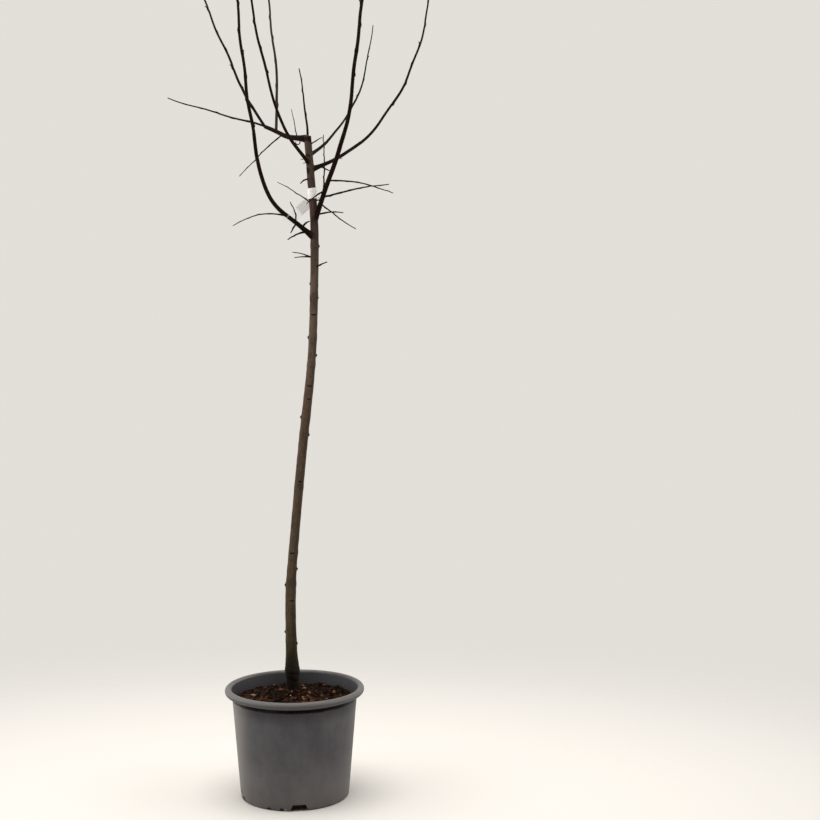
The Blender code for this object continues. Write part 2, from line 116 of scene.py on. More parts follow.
def weld(piece):
    pick(piece)
    bpy.ops.object.mode_set(mode="EDIT")
    bpy.ops.mesh.select_all(action="SELECT")
    bpy.ops.mesh.remove_doubles(threshold=weldDistance)
    bpy.ops.mesh.normals_make_consistent(inside=False)
    bpy.ops.object.mode_set(mode="OBJECT")


def smooth(piece, degrees=None):
    # smooth shading all over, or only where faces meet at less than an angle
    pick(piece)
    if degrees is None:
        bpy.ops.object.shade_smooth()
    else:
        bpy.ops.object.shade_smooth_by_angle(angle=math.radians(degrees))


def spinRound(name, profile, steps):
    # turns a profile of (radius, height) points round the upright axis
    points = [(radius, 0.0, height) for radius, height in profile]
    piece = meshPiece(name, points, [(index, index + 1) for index in range(len(points) - 1)])
    pick(piece)
    bpy.ops.object.mode_set(mode="EDIT")
    bpy.ops.mesh.select_all(action="SELECT")
    bpy.ops.mesh.spin(steps=steps, angle=2 * math.pi, center=(0, 0, 0), axis=(0, 0, 1))
    bpy.ops.object.mode_set(mode="OBJECT")
    weld(piece)
    return piece


def setAttribute(piece, name, values):
    # one number, or one point, for each vertex
    values = np.asarray(values, np.float32)
    kind = "FLOAT_VECTOR" if values.ndim == 2 else "FLOAT"
    attribute = piece.data.attributes.new(name, kind, "POINT")
    attribute.data.foreach_set("vector" if values.ndim == 2 else "value", values.ravel())


def readPoints(piece):
    points = np.zeros(len(piece.data.vertices) * 3, np.float32)
    piece.data.vertices.foreach_get("co", points)
    return points.reshape(-1, 3)


def scatter(name, shapes, places):
    # one mesh with a copy of a shape at each place: (shape, matrix, tone)
    points, faces, tones = [], [], []
    first = 0
    models = [(readPoints(shape), [tuple(face.vertices) for face in shape.data.polygons]) for shape in shapes]
    for index, matrix, tone in places:
        model, outline = models[index]
        turned = np.asarray(matrix.to_3x3()) @ model.T
        points.append(turned.T + np.asarray(matrix.translation))
        faces.extend([tuple(first + corner for corner in face) for face in outline])
        tones.extend([tone] * len(model))
        first += len(model)
    piece = meshPiece(name, np.concatenate(points).tolist(), (), faces)
    setAttribute(piece, "tone", tones)
    for shape in shapes:
        bpy.data.objects.remove(shape, do_unlink=True)
    return piece


def smoothStep(value):
    value = min(max(value, 0.0), 1.0)
    return value * value * (3.0 - 2.0 * value)


def bell(value, middle=0.0, width=1.0):
    # 1 at the middle, and less and less on both sides of it
    return math.exp(-(((value - middle) / width) ** 2))


def blend(first, last, share):
    return first + (last - first) * share


# Wires: a socket that adds nodes as it is reckoned with

class Wire:
    def __init__(self, tree, socket=None):
        self.tree = tree
        self.socket = socket

    def node(self, kind, settings=None, values=None, out=0):
        made = self.tree.nodes.new("ShaderNode" + kind)
        for name, value in (settings or {}).items():
            if name == "stops":
                while len(made.color_ramp.elements) < len(value):
                    made.color_ramp.elements.new(1.0)
                for element, (place, colour) in zip(made.color_ramp.elements, value):
                    element.position = place
                    element.color = (*colour, 1.0)
            else:
                setattr(made, name, value)
        for name, value in (values or {}).items():
            if isinstance(value, Wire):
                self.tree.links.new(value.socket, made.inputs[name])
            else:
                made.inputs[name].default_value = value
        return Wire(self.tree, made.outputs[out])

    def maths(self, operation, first, second):
        return self.node("Math", {"operation": operation}, {0: first, 1: second})

    def __add__(self, other):
        return self.maths("ADD", self, other)

    __radd__ = __add__

    def __sub__(self, other):
        return self.maths("SUBTRACT", self, other)

    def __rsub__(self, other):
        return self.maths("SUBTRACT", other, self)

    def __mul__(self, other):
        return self.maths("MULTIPLY", self, other)

    __rmul__ = __mul__

    def to(self, socket):
        self.tree.links.new(self.socket, socket)


def stretched(place, x, y, z):
    return place.node("Mapping", {}, {"Vector": place, "Scale": (x, y, z)})


def grain(place, scale, detail=3.0, roughness=0.55):
    return place.node("TexNoise", {}, {
        "Vector": place, "Scale": scale, "Detail": detail, "Roughness": roughness,
    })


def cells(place, scale):
    return place.node("TexVoronoi", {}, {"Vector": place, "Scale": scale})


def axisOf(place, index):
    # one number of a place: 0 sideways, 1 inwards, 2 upwards
    return place.node("SeparateXYZ", {}, {0: place}, index)


def lengthOf(place):
    return place.node("VectorMath", {"operation": "LENGTH"}, {0: place}, 1)


def awayFrom(place, spot):
    return place.node("VectorMath", {"operation": "DISTANCE"}, {0: place, 1: spot}, 1)


def between(value, low, high):
    # 0 below the low mark and 1 above the high one, with a soft step
    return value.node("MapRange", {"interpolation_type": "SMOOTHSTEP"},
                      {"Value": value, "From Min": low, "From Max": high})


def below(value, low, high):
    # 1 below the low mark and 0 above the high one
    return 1.0 - between(value, low, high)


def ramp(value, stops):
    return value.node("ValToRGB", {"stops": stops}, {0: value})


def mixed(share, first, second):
    first = first if isinstance(first, Wire) else (*first, 1.0)
    second = second if isinstance(second, Wire) else (*second, 1.0)
    return share.node("Mix", {"data_type": "RGBA"}, {0: share, 6: first, 7: second}, 2)


def layered(colour, look, layers):
    # lays one colour of a look after another over the first, each by its share
    for share, name in layers:
        colour = mixed(share, colour, look[name])
    return colour


def newMaterial(name, **constants):
    material = bpy.data.materials.new(name)
    material.use_nodes = True
    sockets = material.node_tree.nodes["Principled BSDF"].inputs
    for socket, value in constants.items():
        sockets[socket.replace("_", " ")].default_value = value
    return material, sockets, Wire(material.node_tree)


def objectPlace(wire):
    return wire.node("TexCoord", {}, {}, 3)


def attribute(wire, name, out=2):
    return wire.node("Attribute", {"attribute_name": name}, {}, out)


def finishLook(sockets, colour, roughness, relief, strength, depth):
    # sends the finished colour, roughness and relief to the shader
    colour.to(sockets["Base Color"])
    roughness.to(sockets["Roughness"])
    bump = relief.node("Bump", {}, {"Height": relief, "Strength": strength, "Distance": depth})
    bump.to(sockets["Normal"])


# Studio: the camera of the photograph, a pale floor and soft light

studio = {
    "cameraPlace": (0.266, -3.08, 1.045),
    "cameraDown": 2.9,
    "focalPixels": 1350.0,
    "framePixels": 820.0,
    "sensor": 36.0,
    # the air around the tree: its colour, and its light from the front, the left and the right
    "airColour": (0.765, 0.735, 0.695),
    "front": 0.30,
    "left": 2.1,
    "right": 1.60,
    "floorColour": (0.87, 0.845, 0.805),
    "floorRadius": 2.4,
    "floorFade": (0.30, 1.60),
    "floorMottle": 0.985,
    "floorWidth": 1.4,  # how much further the floor reaches to the sides
    # softboxes: place, point they face, size, power, colour
    "lamps": {
        "softboxLeft": ((-2.6, -0.9, 2.8), (0, 0, 0.9), 2.4, 15, (1.0, 0.985, 0.965)),
        "softboxRight": ((2.8, -0.4, 2.2), (0, 0, 0.8), 2.0, 12, (1.0, 0.965, 0.93)),
        "softboxTop": ((-0.2, -0.5, 3.9), (0, 0, 0.2), 3.2, 80, (1.0, 0.99, 0.98)),
    },
}


def makeCamera():
    camera = bpy.data.cameras.new("camera")
    camera.sensor_width = studio["sensor"]
    camera.lens = studio["focalPixels"] / studio["framePixels"] * studio["sensor"]
    stand = addObject("camera", camera)
    stand.location = studio["cameraPlace"]
    stand.rotation_euler = (math.radians(90 - studio["cameraDown"]), 0, 0)
    bpy.context.scene.camera = stand


def makeLamp(name, place, target, size, power, colour):
    lamp = bpy.data.lights.new(name, "AREA")
    lamp.shape = "DISK"
    lamp.size = size
    lamp.energy = power
    lamp.color = colour
    stand = addObject(name, lamp)
    stand.location = place
    stand.rotation_euler = (Vector(target) - Vector(place)).to_track_quat("-Z", "Y").to_euler()


def makeAir():
    # air that lights the tree less from the front, above the floor, and more from the sides
    world = bpy.data.worlds.new("air")
    bpy.context.scene.world = world
    world.use_nodes = True
    background = world.node_tree.nodes["Background"]
    background.inputs["Color"].default_value = (*studio["airColour"], 1.0)
    wire = Wire(world.node_tree)
    way = wire.node("TexCoord")
    sideways, inwards, upwards = [axisOf(way, index) for index in range(3)]
    front = between(0.0 - inwards, -0.25, 0.45) * between(upwards, -0.25, 0.10)
    left = between(0.0 - sideways, 0.45, 0.85) * (studio["left"] - 1.0)
    right = between(sideways, 0.45, 0.85) * (studio["right"] - 1.0)
    # seen directly the air is plain, so that every view has the same backdrop
    seen = wire.node("LightPath")
    light = left + right - front * (1.0 - studio["front"])
    (1.0 + light * (1.0 - seen)).to(background.inputs["Strength"])
    bpy.context.scene.view_settings.view_transform = "Standard"


def makeStudio():
    makeCamera()
    makeAir()
    for name, settings in studio["lamps"].items():
        makeLamp(name, *settings)
    bpy.ops.mesh.primitive_circle_add(vertices=96, radius=studio["floorRadius"], fill_type="TRIFAN")
    floor = bpy.context.object
    floor.name = "floor"
    material, sockets, wire = newMaterial("floorPaper", Roughness=0.85)
    place = objectPlace(wire)
    tone = grain(place, 3.0) * 0.5 + grain(place, 60.0) * 0.5
    pale = studio["floorColour"]
    mixed(tone, [studio["floorMottle"] * part for part in pale], pale).to(sockets["Base Color"])
    reach = lengthOf(stretched(place, 1.0 / studio["floorWidth"], 1, 1))
    below(reach, *studio["floorFade"]).to(sockets["Alpha"])
    floor.data.materials.append(material)


makeStudio()
print("studio: camera, lamps and floor")


# Pot: turned from one profile, with a rolled lip, a groove under it and four notches in the foot

pot = {
    "height": 0.2523,
    "baseRadius": 0.1245,
    "wallSlope": 0.081,
    "wall": 0.0030,
    "insideHeights": (0.007, 0.05, 0.10, 0.15, 0.20, 0.232),
    "outsideHeights": (0.20, 0.15, 0.10, 0.05, 0.02),
    "floor": 0.0050,
    "underside": 0.0015,
    "footWidth": 0.010,
    "edge": 0.0035,
    "lipRadius": 0.160,
    "openingRadius": 0.1446,
    "lipHeight": 0.016,
    "lipThickness": 0.0026,
    "lipEnd": -52,  # degrees past level where the rolled lip ends
    "steps": 180,
    "notches": 4,
    "firstNotch": 279,
    "notchWidth": 0.0445,
    "notchTopWidth": 0.0285,
    "notchHeight": 0.0148,
    "notchDepth": 0.030,
    "notchOutside": 0.012,
    "notchUnder": 0.004,
    "dark": (0.0345, 0.0340, 0.0415),
    "light": (0.068, 0.0655, 0.0740),
    # the rolled lip's top, painted lighter as highlight over the colour of its front
    "lip": (0.112, 0.105, 0.107),
    "lipFront": (0.046, 0.0440, 0.0470),
    # the inside wall, painted darker as shade inside the pot
    "inside": (0.034, 0.0330, 0.0370),
    # dust low on the wall, together with painted light bounced up from the floor
    "dustAndBounceLight": (0.126, 0.112, 0.108),
    # painted light on the left side of the wall
    "paintedLeftLight": (0.185, 0.172, 0.160),
    # near black: painted shade under the lip and along the foot, and the colour of the dark scuffs
    "paintedShadeAndScuffBlack": (0.0030, 0.0026, 0.0030),
    # nibs on the wall, dark scuffs and small pale nicks: azimuth, height, size
    "nibs": ((178.5, 0.104, 0.0019), (178.0, 0.091, 0.0013)),
    "scuffs": ((206, 0.002, 0.017), (200, 0.0180, 0.009), (247, 0.0015, 0.009), (261, 0.0020, 0.009)),
    "chipped": ((265, 0.0035, 0.0030), (203, 0.013, 0.0024), (184, 0.026, 0.0030)),
    "worn": (0.150, 0.143, 0.138),
    "nick": (0.42, 0.37, 0.33),
    "dirt": (0.040, 0.032, 0.028),
}


def potRadius(height):
    return pot["baseRadius"] + pot["wallSlope"] * height


def onWall(azimuth, height, out=0.0):
    # a point on the outer wall, or a little way out of it
    turn = math.radians(azimuth)
    reach = potRadius(height) + out
    return (reach * math.cos(turn), reach * math.sin(turn), height)


def arc(centre, halfWidth, halfHeight, first, last, count):
    points = []
    for index in range(count):
        angle = math.radians(first + (last - first) * index / (count - 1))
        points.append((centre[0] + halfWidth * math.cos(angle), centre[1] + halfHeight * math.sin(angle)))
    return points


def potProfile():
    # the section of the pot: over its floor, up inside, round the lip, and down outside to its base
    thick = pot["lipThickness"]
    halfWidth = 0.5 * (pot["lipRadius"] - pot["openingRadius"])
    halfHeight = 0.5 * pot["lipHeight"]
    centre = (pot["openingRadius"] + halfWidth, pot["height"] - halfHeight)
    lipFoot = pot["height"] - pot["lipHeight"]
    inside = [(potRadius(height) - pot["wall"], height) for height in pot["insideHeights"]]
    profile = [(0.0, pot["floor"]), (inside[0][0] - 0.002, pot["floor"])] + inside
    profile += arc(centre, halfWidth, halfHeight, 180, pot["lipEnd"], 22)
    profile += arc(centre, halfWidth - thick, halfHeight - thick, pot["lipEnd"], 150, 16)
    profile += [(potRadius(lipFoot) + 0.0012, lipFoot + 0.002), (potRadius(lipFoot), lipFoot - 0.003)]
    profile += [(potRadius(height), height) for height in pot["outsideHeights"]]
    edge = pot["edge"]
    profile += arc((pot["baseRadius"] - edge, edge), edge, edge, 0, -90, 6)
    foot = pot["baseRadius"] - edge - pot["footWidth"]
    profile += [(foot, 0.0), (foot - 0.002, pot["underside"]), (0.0, pot["underside"])]
    return profile


def notchCutter(azimuth):
    # a block whose upper face is drawn in, so that its ends slant
    outer = pot["baseRadius"] + pot["notchOutside"]
    inner = pot["baseRadius"] - pot["notchDepth"]
    top, under = pot["notchHeight"], pot["notchUnder"]
    middle = (0.5 * (outer + inner), 0, 0.5 * (top - under))
    bpy.ops.mesh.primitive_cube_add(size=1.0, location=middle)
    cutter = bpy.context.object
    cutter.scale = (outer - inner, pot["notchWidth"], top + under)
    applyPlace(cutter)
    for vertex in cutter.data.vertices:
        if vertex.co.z > 0:
            vertex.co.y *= pot["notchTopWidth"] / pot["notchWidth"]
    cutter.rotation_euler = (0, 0, math.radians(azimuth))
    applyPlace(cutter)
    return cutter


def potMaterial():
    material, sockets, wire = newMaterial("potPlastic", Specular_IOR_Level=0.50)
    place = objectPlace(wire)
    sideways, height = axisOf(place, 0), axisOf(place, 2)
    reach = lengthOf(place.node("VectorMath", {"operation": "MULTIPLY"}, {0: place, 1: (1, 1, 0)}))
    # the outer wall, without the throat of the lip, and all that is inside it
    base = pot["baseRadius"]
    throat = between(height, 0.2325, 0.2335) * below(reach, 0.1450, 0.1458)
    outer = between(reach - height * pot["wallSlope"], base - 0.0028, base - 0.0022) * (1.0 - throat)
    inner = 1.0 - outer
    cloud = grain(place, 11.0, 5.0, 0.6)
    blotch = grain(stretched(place, 1, 1, 0.45), 34.0, 4.0, 0.6)
    speck = grain(place, 420.0, 2.0)
    drag = grain(stretched(place, 1, 1, 0.03), 160.0, 2.0)  # faint upright lines of the mould
    tone = cloud * 0.55 + blotch * 0.35 + drag * 0.10
    colour = mixed(between(tone, 0.38, 0.64), pot["dark"], pot["light"])
    # dust low on the wall with painted light from the floor, painted light on the left side, painted shade
    # that darkens the wall towards the lip, and painted shade in the crease under the lip
    dustAndBounceLightShare = below(height, 0.0, 0.15) * (cloud * 0.8 + 0.15)
    shade = between(height, 0.06, 0.20) * 0.10 + between(height, 0.192, 0.224) * 0.38
    paintedLeftLightShare = between(0.0 - sideways, 0.082, 0.142) * 0.88
    patchy = between(grain(stretched(place, 1, 1, 0.1), 16.0, 3.0), 0.34, 0.50)
    paintedCreaseShade = between(height + blotch * 0.005, 0.2250, 0.2302) * below(height, 0.2352, 0.2366) * outer
    # the rolled lip, painted lighter towards its top as highlight
    lip = between(height, 0.2368, 0.2384) * between(reach, 0.1462, 0.1500)
    lipPaintedLitTop = mixed(between(height, 0.2430, 0.2475), pot["lipFront"], pot["lip"])
    # painted contact shadow along the bottom edge of the foot
    paintedFootContactShadow = below(height + blotch * 0.003, 0.0020, 0.0055) * outer
    # wear on the rim and the foot, level scratches, and splashes of dirt inside
    rimWear = between(height, 0.2450, 0.2520) * between(cloud, 0.30, 0.60)
    footWear = below(height, 0.0005, 0.006) * between(blotch, 0.48, 0.66)
    scratches = between(grain(stretched(place, 0.25, 0.25, 1.0), 300.0, 1.0), 0.71, 0.76)
    splash = inner * below(height, 0.220, 0.232) * between(grain(place, 90.0), 0.35, 0.6)
    colour = layered(colour, dict(pot, lipPaintedLitTop=lipPaintedLitTop), (
        # painted shade over all of the inside
        (inner * 0.85, "inside"),
        (dustAndBounceLightShare, "dustAndBounceLight"),
        (shade * outer, "paintedShadeAndScuffBlack"),
        (paintedLeftLightShare * outer, "paintedLeftLight"),
        (paintedCreaseShade * (patchy * 0.26 + 0.72), "paintedShadeAndScuffBlack"),
        (lip, "lipPaintedLitTop"),
        (paintedFootContactShadow * 0.8, "paintedShadeAndScuffBlack"),
        (between(speck, 0.60, 0.78) * 0.35, "worn"),
        (rimWear * 0.6 + footWear * 0.5, "worn"),
        (scratches * between(cloud, 0.5, 0.7) * 0.5, "worn"),
        (splash * 0.7, "dirt"),
    ))
    # dark scuffs and small pale nicks along the foot, each a spot with a ragged edge
    # there is no shine on the scuffs, nor where the wall is in the shade of the lip
    ragged = grain(place, 260.0, 3.0) * 0.008 - 0.004
    dull = paintedCreaseShade * 0.70 + between(height, 0.192, 0.224) * below(height, 0.2340, 0.2360) * 0.40
    dull = dull * outer
    for azimuth, up, size in pot["scuffs"]:
        patch = below(awayFrom(place, onWall(azimuth, up)) + ragged, 0.3 * size, 0.8 * size)
        colour = mixed(patch * 0.94, colour, pot["paintedShadeAndScuffBlack"])
        dull = dull + patch * 0.9
    for azimuth, up, size in pot["chipped"]:
        patch = below(awayFrom(place, onWall(azimuth, up)) + ragged * 0.2, 0.3 * size, 0.7 * size)
        colour = mixed(patch * 0.8, colour, pot["nick"])
    crumbs = between(grain(place, 520.0, 1.0), 0.66, 0.74) * between(height, 0.2440, 0.2500)
    colour = mixed(crumbs * 0.6, colour, pot["nick"])
    dull.to(sockets["Metallic"])
    relief = speck * 0.35 + drag * 0.25 + cloud * 0.6
    finishLook(sockets, colour, blotch * 0.14 + 0.42 + speck * 0.08, relief, 0.4, 0.0006)
    return material


def makePot():
    shell = spinRound("potShell", potProfile(), pot["steps"])
    for index in range(pot["notches"]):
        cutter = notchCutter(pot["firstNotch"] + 360 / pot["notches"] * index)
        modify(shell, "BOOLEAN", operation="DIFFERENCE", solver="EXACT", object=cutter)
        bpy.data.objects.remove(cutter, do_unlink=True)
    nibs = []
    for azimuth, height, size in pot["nibs"]:
        where = onWall(azimuth, height, 0.2 * size)
        bpy.ops.mesh.primitive_uv_sphere_add(segments=12, ring_count=8, radius=size, location=where)
        nib = bpy.context.object
        nib.scale = (0.8, 1.0, 1.6)
        applyPlace(nib)
        nibs.append(nib)
    shell = join("potShell", [shell] + nibs)
    smooth(shell, 38)
    shell.data.materials.append(potMaterial())
    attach(shell, "root")
    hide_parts("pot")


makePot()
print("pot: shell, lip, notches and nibs")


# Soil: a turned bed with a low mound, and bark chips and crumbs strewn on it

soil = {
    "level": 0.2205,
    "mounds": ((0.010, 0.026, 0.088), (0.009, 0.016, 0.046)),  # height, radius at the top, at the foot
    "foot": (-0.006, 0.030),
    "radius": 0.1388,
    "bottom": 0.0056,
    "narrowing": 0.0163,  # how much less the bottom's radius is
    "rings": 52,
    "steps": 128,
    "bumps": ((0.020, 0.0022), (0.007, 0.0012)),  # width and height of the humps
    "banks": ((-0.124, -0.030, 0.050, 0.0095), (0.105, -0.070, 0.040, 0.0030)),  # x, y, reach, height
    "chips": 1150,
    "crumbs": 3000,
    "chipLength": (0.006, 0.016),
    "crumbSize": (0.0016, 0.0042),
    "clearOfTrunk": 0.0155,
    "models": 6,  # different chips, and different crumbs
    "tones": (0.30, 0.60),
    "rareTones": ((0.955, (0.80, 0.98)), (0.84, (0.58, 0.78))),  # the pale bits and the rusty ones
    "colours": (
        (0.00, (0.0020, 0.0011, 0.0007)),
        (0.34, (0.0100, 0.0043, 0.0022)),
        (0.58, (0.042, 0.0160, 0.0066)),
        (0.76, (0.135, 0.055, 0.023)),
        (0.90, (0.27, 0.145, 0.072)),
        (1.00, (0.60, 0.46, 0.33)),
    ),
    "seed": 5,
}


def fromFoot(x, y):
    # how far a point lies from the trunk's foot, seen from above
    return math.hypot(x - soil["foot"][0], y - soil["foot"][1])


def soilHeight(x, y):
    rise = 0.0
    for tall, inner, outer in soil["mounds"]:
        rise += tall * smoothStep((outer - fromFoot(x, y)) / (outer - inner))
    for bankX, bankY, reach, tall in soil["banks"]:
        rise += tall * smoothStep(1.0 - math.hypot(x - bankX, y - bankY) / reach)
    for width, tall in soil["bumps"]:
        rise += tall * noise.noise(Vector((x / width, y / width, width * 100)))
    return soil["level"] + rise


def soilMaterial(name, fibre):
    # bark compost: nearly black when wet, with brown, rust and straw coloured bits
    material, sockets, wire = newMaterial(name, Specular_IOR_Level=0.10)
    place = objectPlace(wire)
    fine = grain(place, 700.0, 3.0)
    patch = grain(place, 60.0, 3.0)
    # the back of the bed is painted darker, as shade
    back = between(axisOf(place, 1), -0.07, 0.08)
    shade = attribute(wire, "tone") + (fine - 0.5) * 0.45 + (patch - 0.5) * 0.5 + 0.07 - back * 0.20
    colour = ramp(shade, soil["colours"])
    finishLook(sockets, colour, 0.96 - fine * 0.2, fine * 0.6 + patch * 0.4, 0.8, fibre)
    return material


def makeSoilBed():
    # a turned plug whose top is then raised to the soil's height
    level = soil["level"]
    profile = [(0.0, level)]
    for index in range(soil["rings"]):
        profile.append((soil["radius"] * (index + 0.35) / (soil["rings"] - 0.65), level))
    profile += [(soil["radius"] - soil["narrowing"], soil["bottom"]), (0.0, soil["bottom"])]
    bed = spinRound("soilBed", profile, soil["steps"])
    for vertex in bed.data.vertices:
        if vertex.co.z > 0.5 * level:
            vertex.co.z = soilHeight(vertex.co.x, vertex.co.y)
    setAttribute(bed, "tone", [0.22 + 0.25 * noise.noise(vertex.co * 90) for vertex in bed.data.vertices])
    smooth(bed, 60)
    bed.data.materials.append(soilMaterial("soilPeat", 0.0012))
    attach(bed, "root")
    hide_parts("soil")


def roughBlock(kind, size, roughness, seed):
    # one chip: a block, or a ball for a crumb, cut finer and shaken out of true
    dropPicks()
    if kind == "chip":
        bpy.ops.mesh.primitive_cube_add(size=1.0)
    else:
        bpy.ops.mesh.primitive_ico_sphere_add(subdivisions=1, radius=0.5)
    block = bpy.context.object
    block.scale = size
    applyPlace(block)
    bpy.ops.object.mode_set(mode="EDIT")
    bpy.ops.mesh.select_all(action="SELECT")
    if kind == "chip":
        bpy.ops.mesh.subdivide(number_cuts=1)
    bpy.ops.transform.vertex_random(offset=roughness, uniform=0.2, normal=0.2, seed=seed)
    bpy.ops.object.mode_set(mode="OBJECT")
    return block


def strewn(draw, count, sizeOf, tilt, lift):
    # places for loose bits: each lies on the soil, turned and tilted by chance, with a tone
    places = []
    while len(places) < count:
        reach = (soil["radius"] - 0.003) * math.sqrt(draw.random())
        turn = draw.uniform(0, 2 * math.pi)
        x, y = reach * math.cos(turn), reach * math.sin(turn)
        if fromFoot(x, y) < soil["clearOfTrunk"]:
            continue
        size = sizeOf(draw)
        if reach + 0.45 * size > soil["radius"] + 0.0015:
            continue
        lean = Matrix.Rotation(draw.gauss(0, tilt), 4, "X") @ Matrix.Rotation(draw.gauss(0, tilt), 4, "Y")
        matrix = Matrix.Translation((x, y, soilHeight(x, y) + lift * size))
        matrix = matrix @ Matrix.Rotation(draw.uniform(0, 6.28), 4, "Z") @ lean @ Matrix.Scale(size, 4)
        tone = draw.uniform(*soil["tones"])
        rare = draw.random()
        for mark, tones in soil["rareTones"]:
            if rare > mark:
                tone = draw.uniform(*tones)
                break
        places.append((draw.randrange(soil["models"]), matrix, tone))
    return places


def makeChips():
    draw = random.Random(soil["seed"])
    # name, kind, count, sizes, tilt, lift above the soil, and how far small sizes are favoured
    kinds = (
        ("barkChips", "chip", soil["chips"], soil["chipLength"], 0.34, 0.10, 2.2),
        ("barkCrumbs", "crumb", soil["crumbs"], soil["crumbSize"], 0.9, 0.30, 1.0),
    )
    for name, kind, count, sizes, tilt, lift, favour in kinds:
        shapes = []
        for index in range(soil["models"]):
            size = (1.0, draw.uniform(0.35, 0.6), draw.uniform(0.14, 0.26))
            if kind == "crumb":
                size = (1.0, draw.uniform(0.7, 1.0), draw.uniform(0.5, 0.9))
            shapes.append(roughBlock(kind, size, 0.10 if kind == "chip" else 0.16, 11 * index + 3))
        places = strewn(draw, count, lambda d: blend(*sizes, d.random() ** favour), tilt, lift)
        bits = scatter(name, shapes, places)
        bits.data.materials.append(soilMaterial(name, 0.0005))
        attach(bits, "root")


makeSoilBed()
makeChips()
print("soil: bed, chips and crumbs")


# Limbs: the rule that the solids follow, with the same sizes

trunk = {
    "foot": 0.2323,
    "top": 1.511,
    "line": ((0.2323, -0.006), (0.34, -0.010), (0.47, -0.0105), (0.60, -0.0005), (0.80, 0.0185),
             (1.00, 0.040), (1.15, 0.0465), (1.31, 0.048), (1.42, 0.0405), (1.511, 0.0335)),
    "girth": ((0.2323, 0.0315), (0.262, 0.0325), (0.281, 0.0355), (0.296, 0.0315), (0.310, 0.0285),
              (0.330, 0.0263), (0.36, 0.0252), (0.48, 0.0240), (0.54, 0.0218), (0.92, 0.0208), (1.00, 0.0190),
              (1.29, 0.0188), (1.34, 0.0183), (1.45, 0.0174), (1.511, 0.0165)),
    "depth": (0.030, 0.010),  # Y at the foot and at the top
    "flare": 0.0040,
    "flareHeight": 0.016,
    "rings": 320,
    # old bud knobs: height, azimuth, length
    "knobs": ((0.341, 0, 0.0030), (0.368, 175, 0.0038), (0.479, 190, 0.0035), (0.516, 10, 0.0035),
              (0.828, 5, 0.0038), (0.869, 185, 0.0035), (1.011, 10, 0.0036), (1.052, 180, 0.0038),
              (1.143, 15, 0.0022), (1.175, 178, 0.0022), (1.260, 5, 0.0030)),
    # dark crescent scars of old shoots: height, azimuth, width in millimetres
    "scars": ((0.446, 294, 13), (0.557, 264, 15), (0.723, 288, 10), (0.759, 222, 9), (0.913, 292, 11),
              (0.943, 284, 12), (1.106, 280, 17), (0.41, 80, 11), (0.62, 112, 13), (0.69, 60, 9),
              (0.86, 88, 10), (0.97, 120, 9), (1.08, 70, 10), (1.21, 100, 9), (0.30, 140, 9)),
    "swellings": ((0.353, 0.0007), (0.483, 0.0009), (0.557, 0.0006), (0.708, 0.0006), (0.835, 0.0006),
                  (0.872, 0.0006), (0.991, 0.0008), (1.055, 0.0006), (1.147, 0.0007), (1.263, 0.0006)),
    "swellingHeight": 0.008,
    # dark rings round the foot: height and depth
    "creases": ((0.2905, 0.0004), (0.2765, 0.0009), (0.2610, 0.0010)),
}

boughs = {
    "left_low": dict(at=1.281, azimuth=208, rise=(35, 75, 93), bend=(0.147, 0.133),
                     length=1.00, split=0.30, diameter=(0.0104, 0.0020), phase=1.3),
    "right_low": dict(at=1.318, azimuth=320, rise=(63, 80, 81), bend=(0.229, 0.061),
                      length=1.03, split=0.34, diameter=(0.0116, 0.0022), phase=-1.1),
    "right_mid": dict(at=1.435, azimuth=27, rise=(21, 29, 104), bend=(0.143, 0.058),
                      length=0.76, split=0.27, diameter=(0.0086, 0.0020), phase=3.5),
    "left_mid": dict(at=1.447, azimuth=235, rise=(35, 58, 90), bend=(0.128, 0.145),
                     length=0.76, split=0.24, diameter=(0.0082, 0.0018), phase=3.1),
    "right_top": dict(at=1.467, azimuth=61, rise=(25, 34, 78), bend=(0.268, 0.049),
                      length=0.475, split=0.22, diameter=(0.0078, 0.0022), phase=3.5),
}
arm = dict(at=1.5045, azimuth=158, rise=(7, 23, 26), bend=(0.054, 0.027),
           length=0.116, diameter=(0.0130, 0.0092), phase=5.2, steps=8)

# Shoots on the arm and on the trunk's tip
shoots = {
    "left_top": dict(parent="armTip", azimuth=156, rise=(54, 62, 69), bend=(0.08, 0.02),
                     length=0.68, diameter=(0.0068, 0.0018), phase=-0.2),
    "left_upright": dict(parent="arm", along=0.084, azimuth=150, rise=(92, 81, 85), bend=(0.113, 0.05),
                         length=0.60, diameter=(0.0067, 0.0019), phase=7.9),
    "leader": dict(parent="trunk", along=1.505, azimuth=160, rise=(88, 81, 82), bend=(0.028, 0.033),
                   length=0.163, diameter=(0.0055, 0.0024), phase=3.6),
}
farTwig = dict(along=0.007, azimuth=176, rise=(10, 13, 19), bend=(0.022, 0.029),
               length=0.234, diameter=(0.0049, 0.0024), phase=2.9, steps=10)

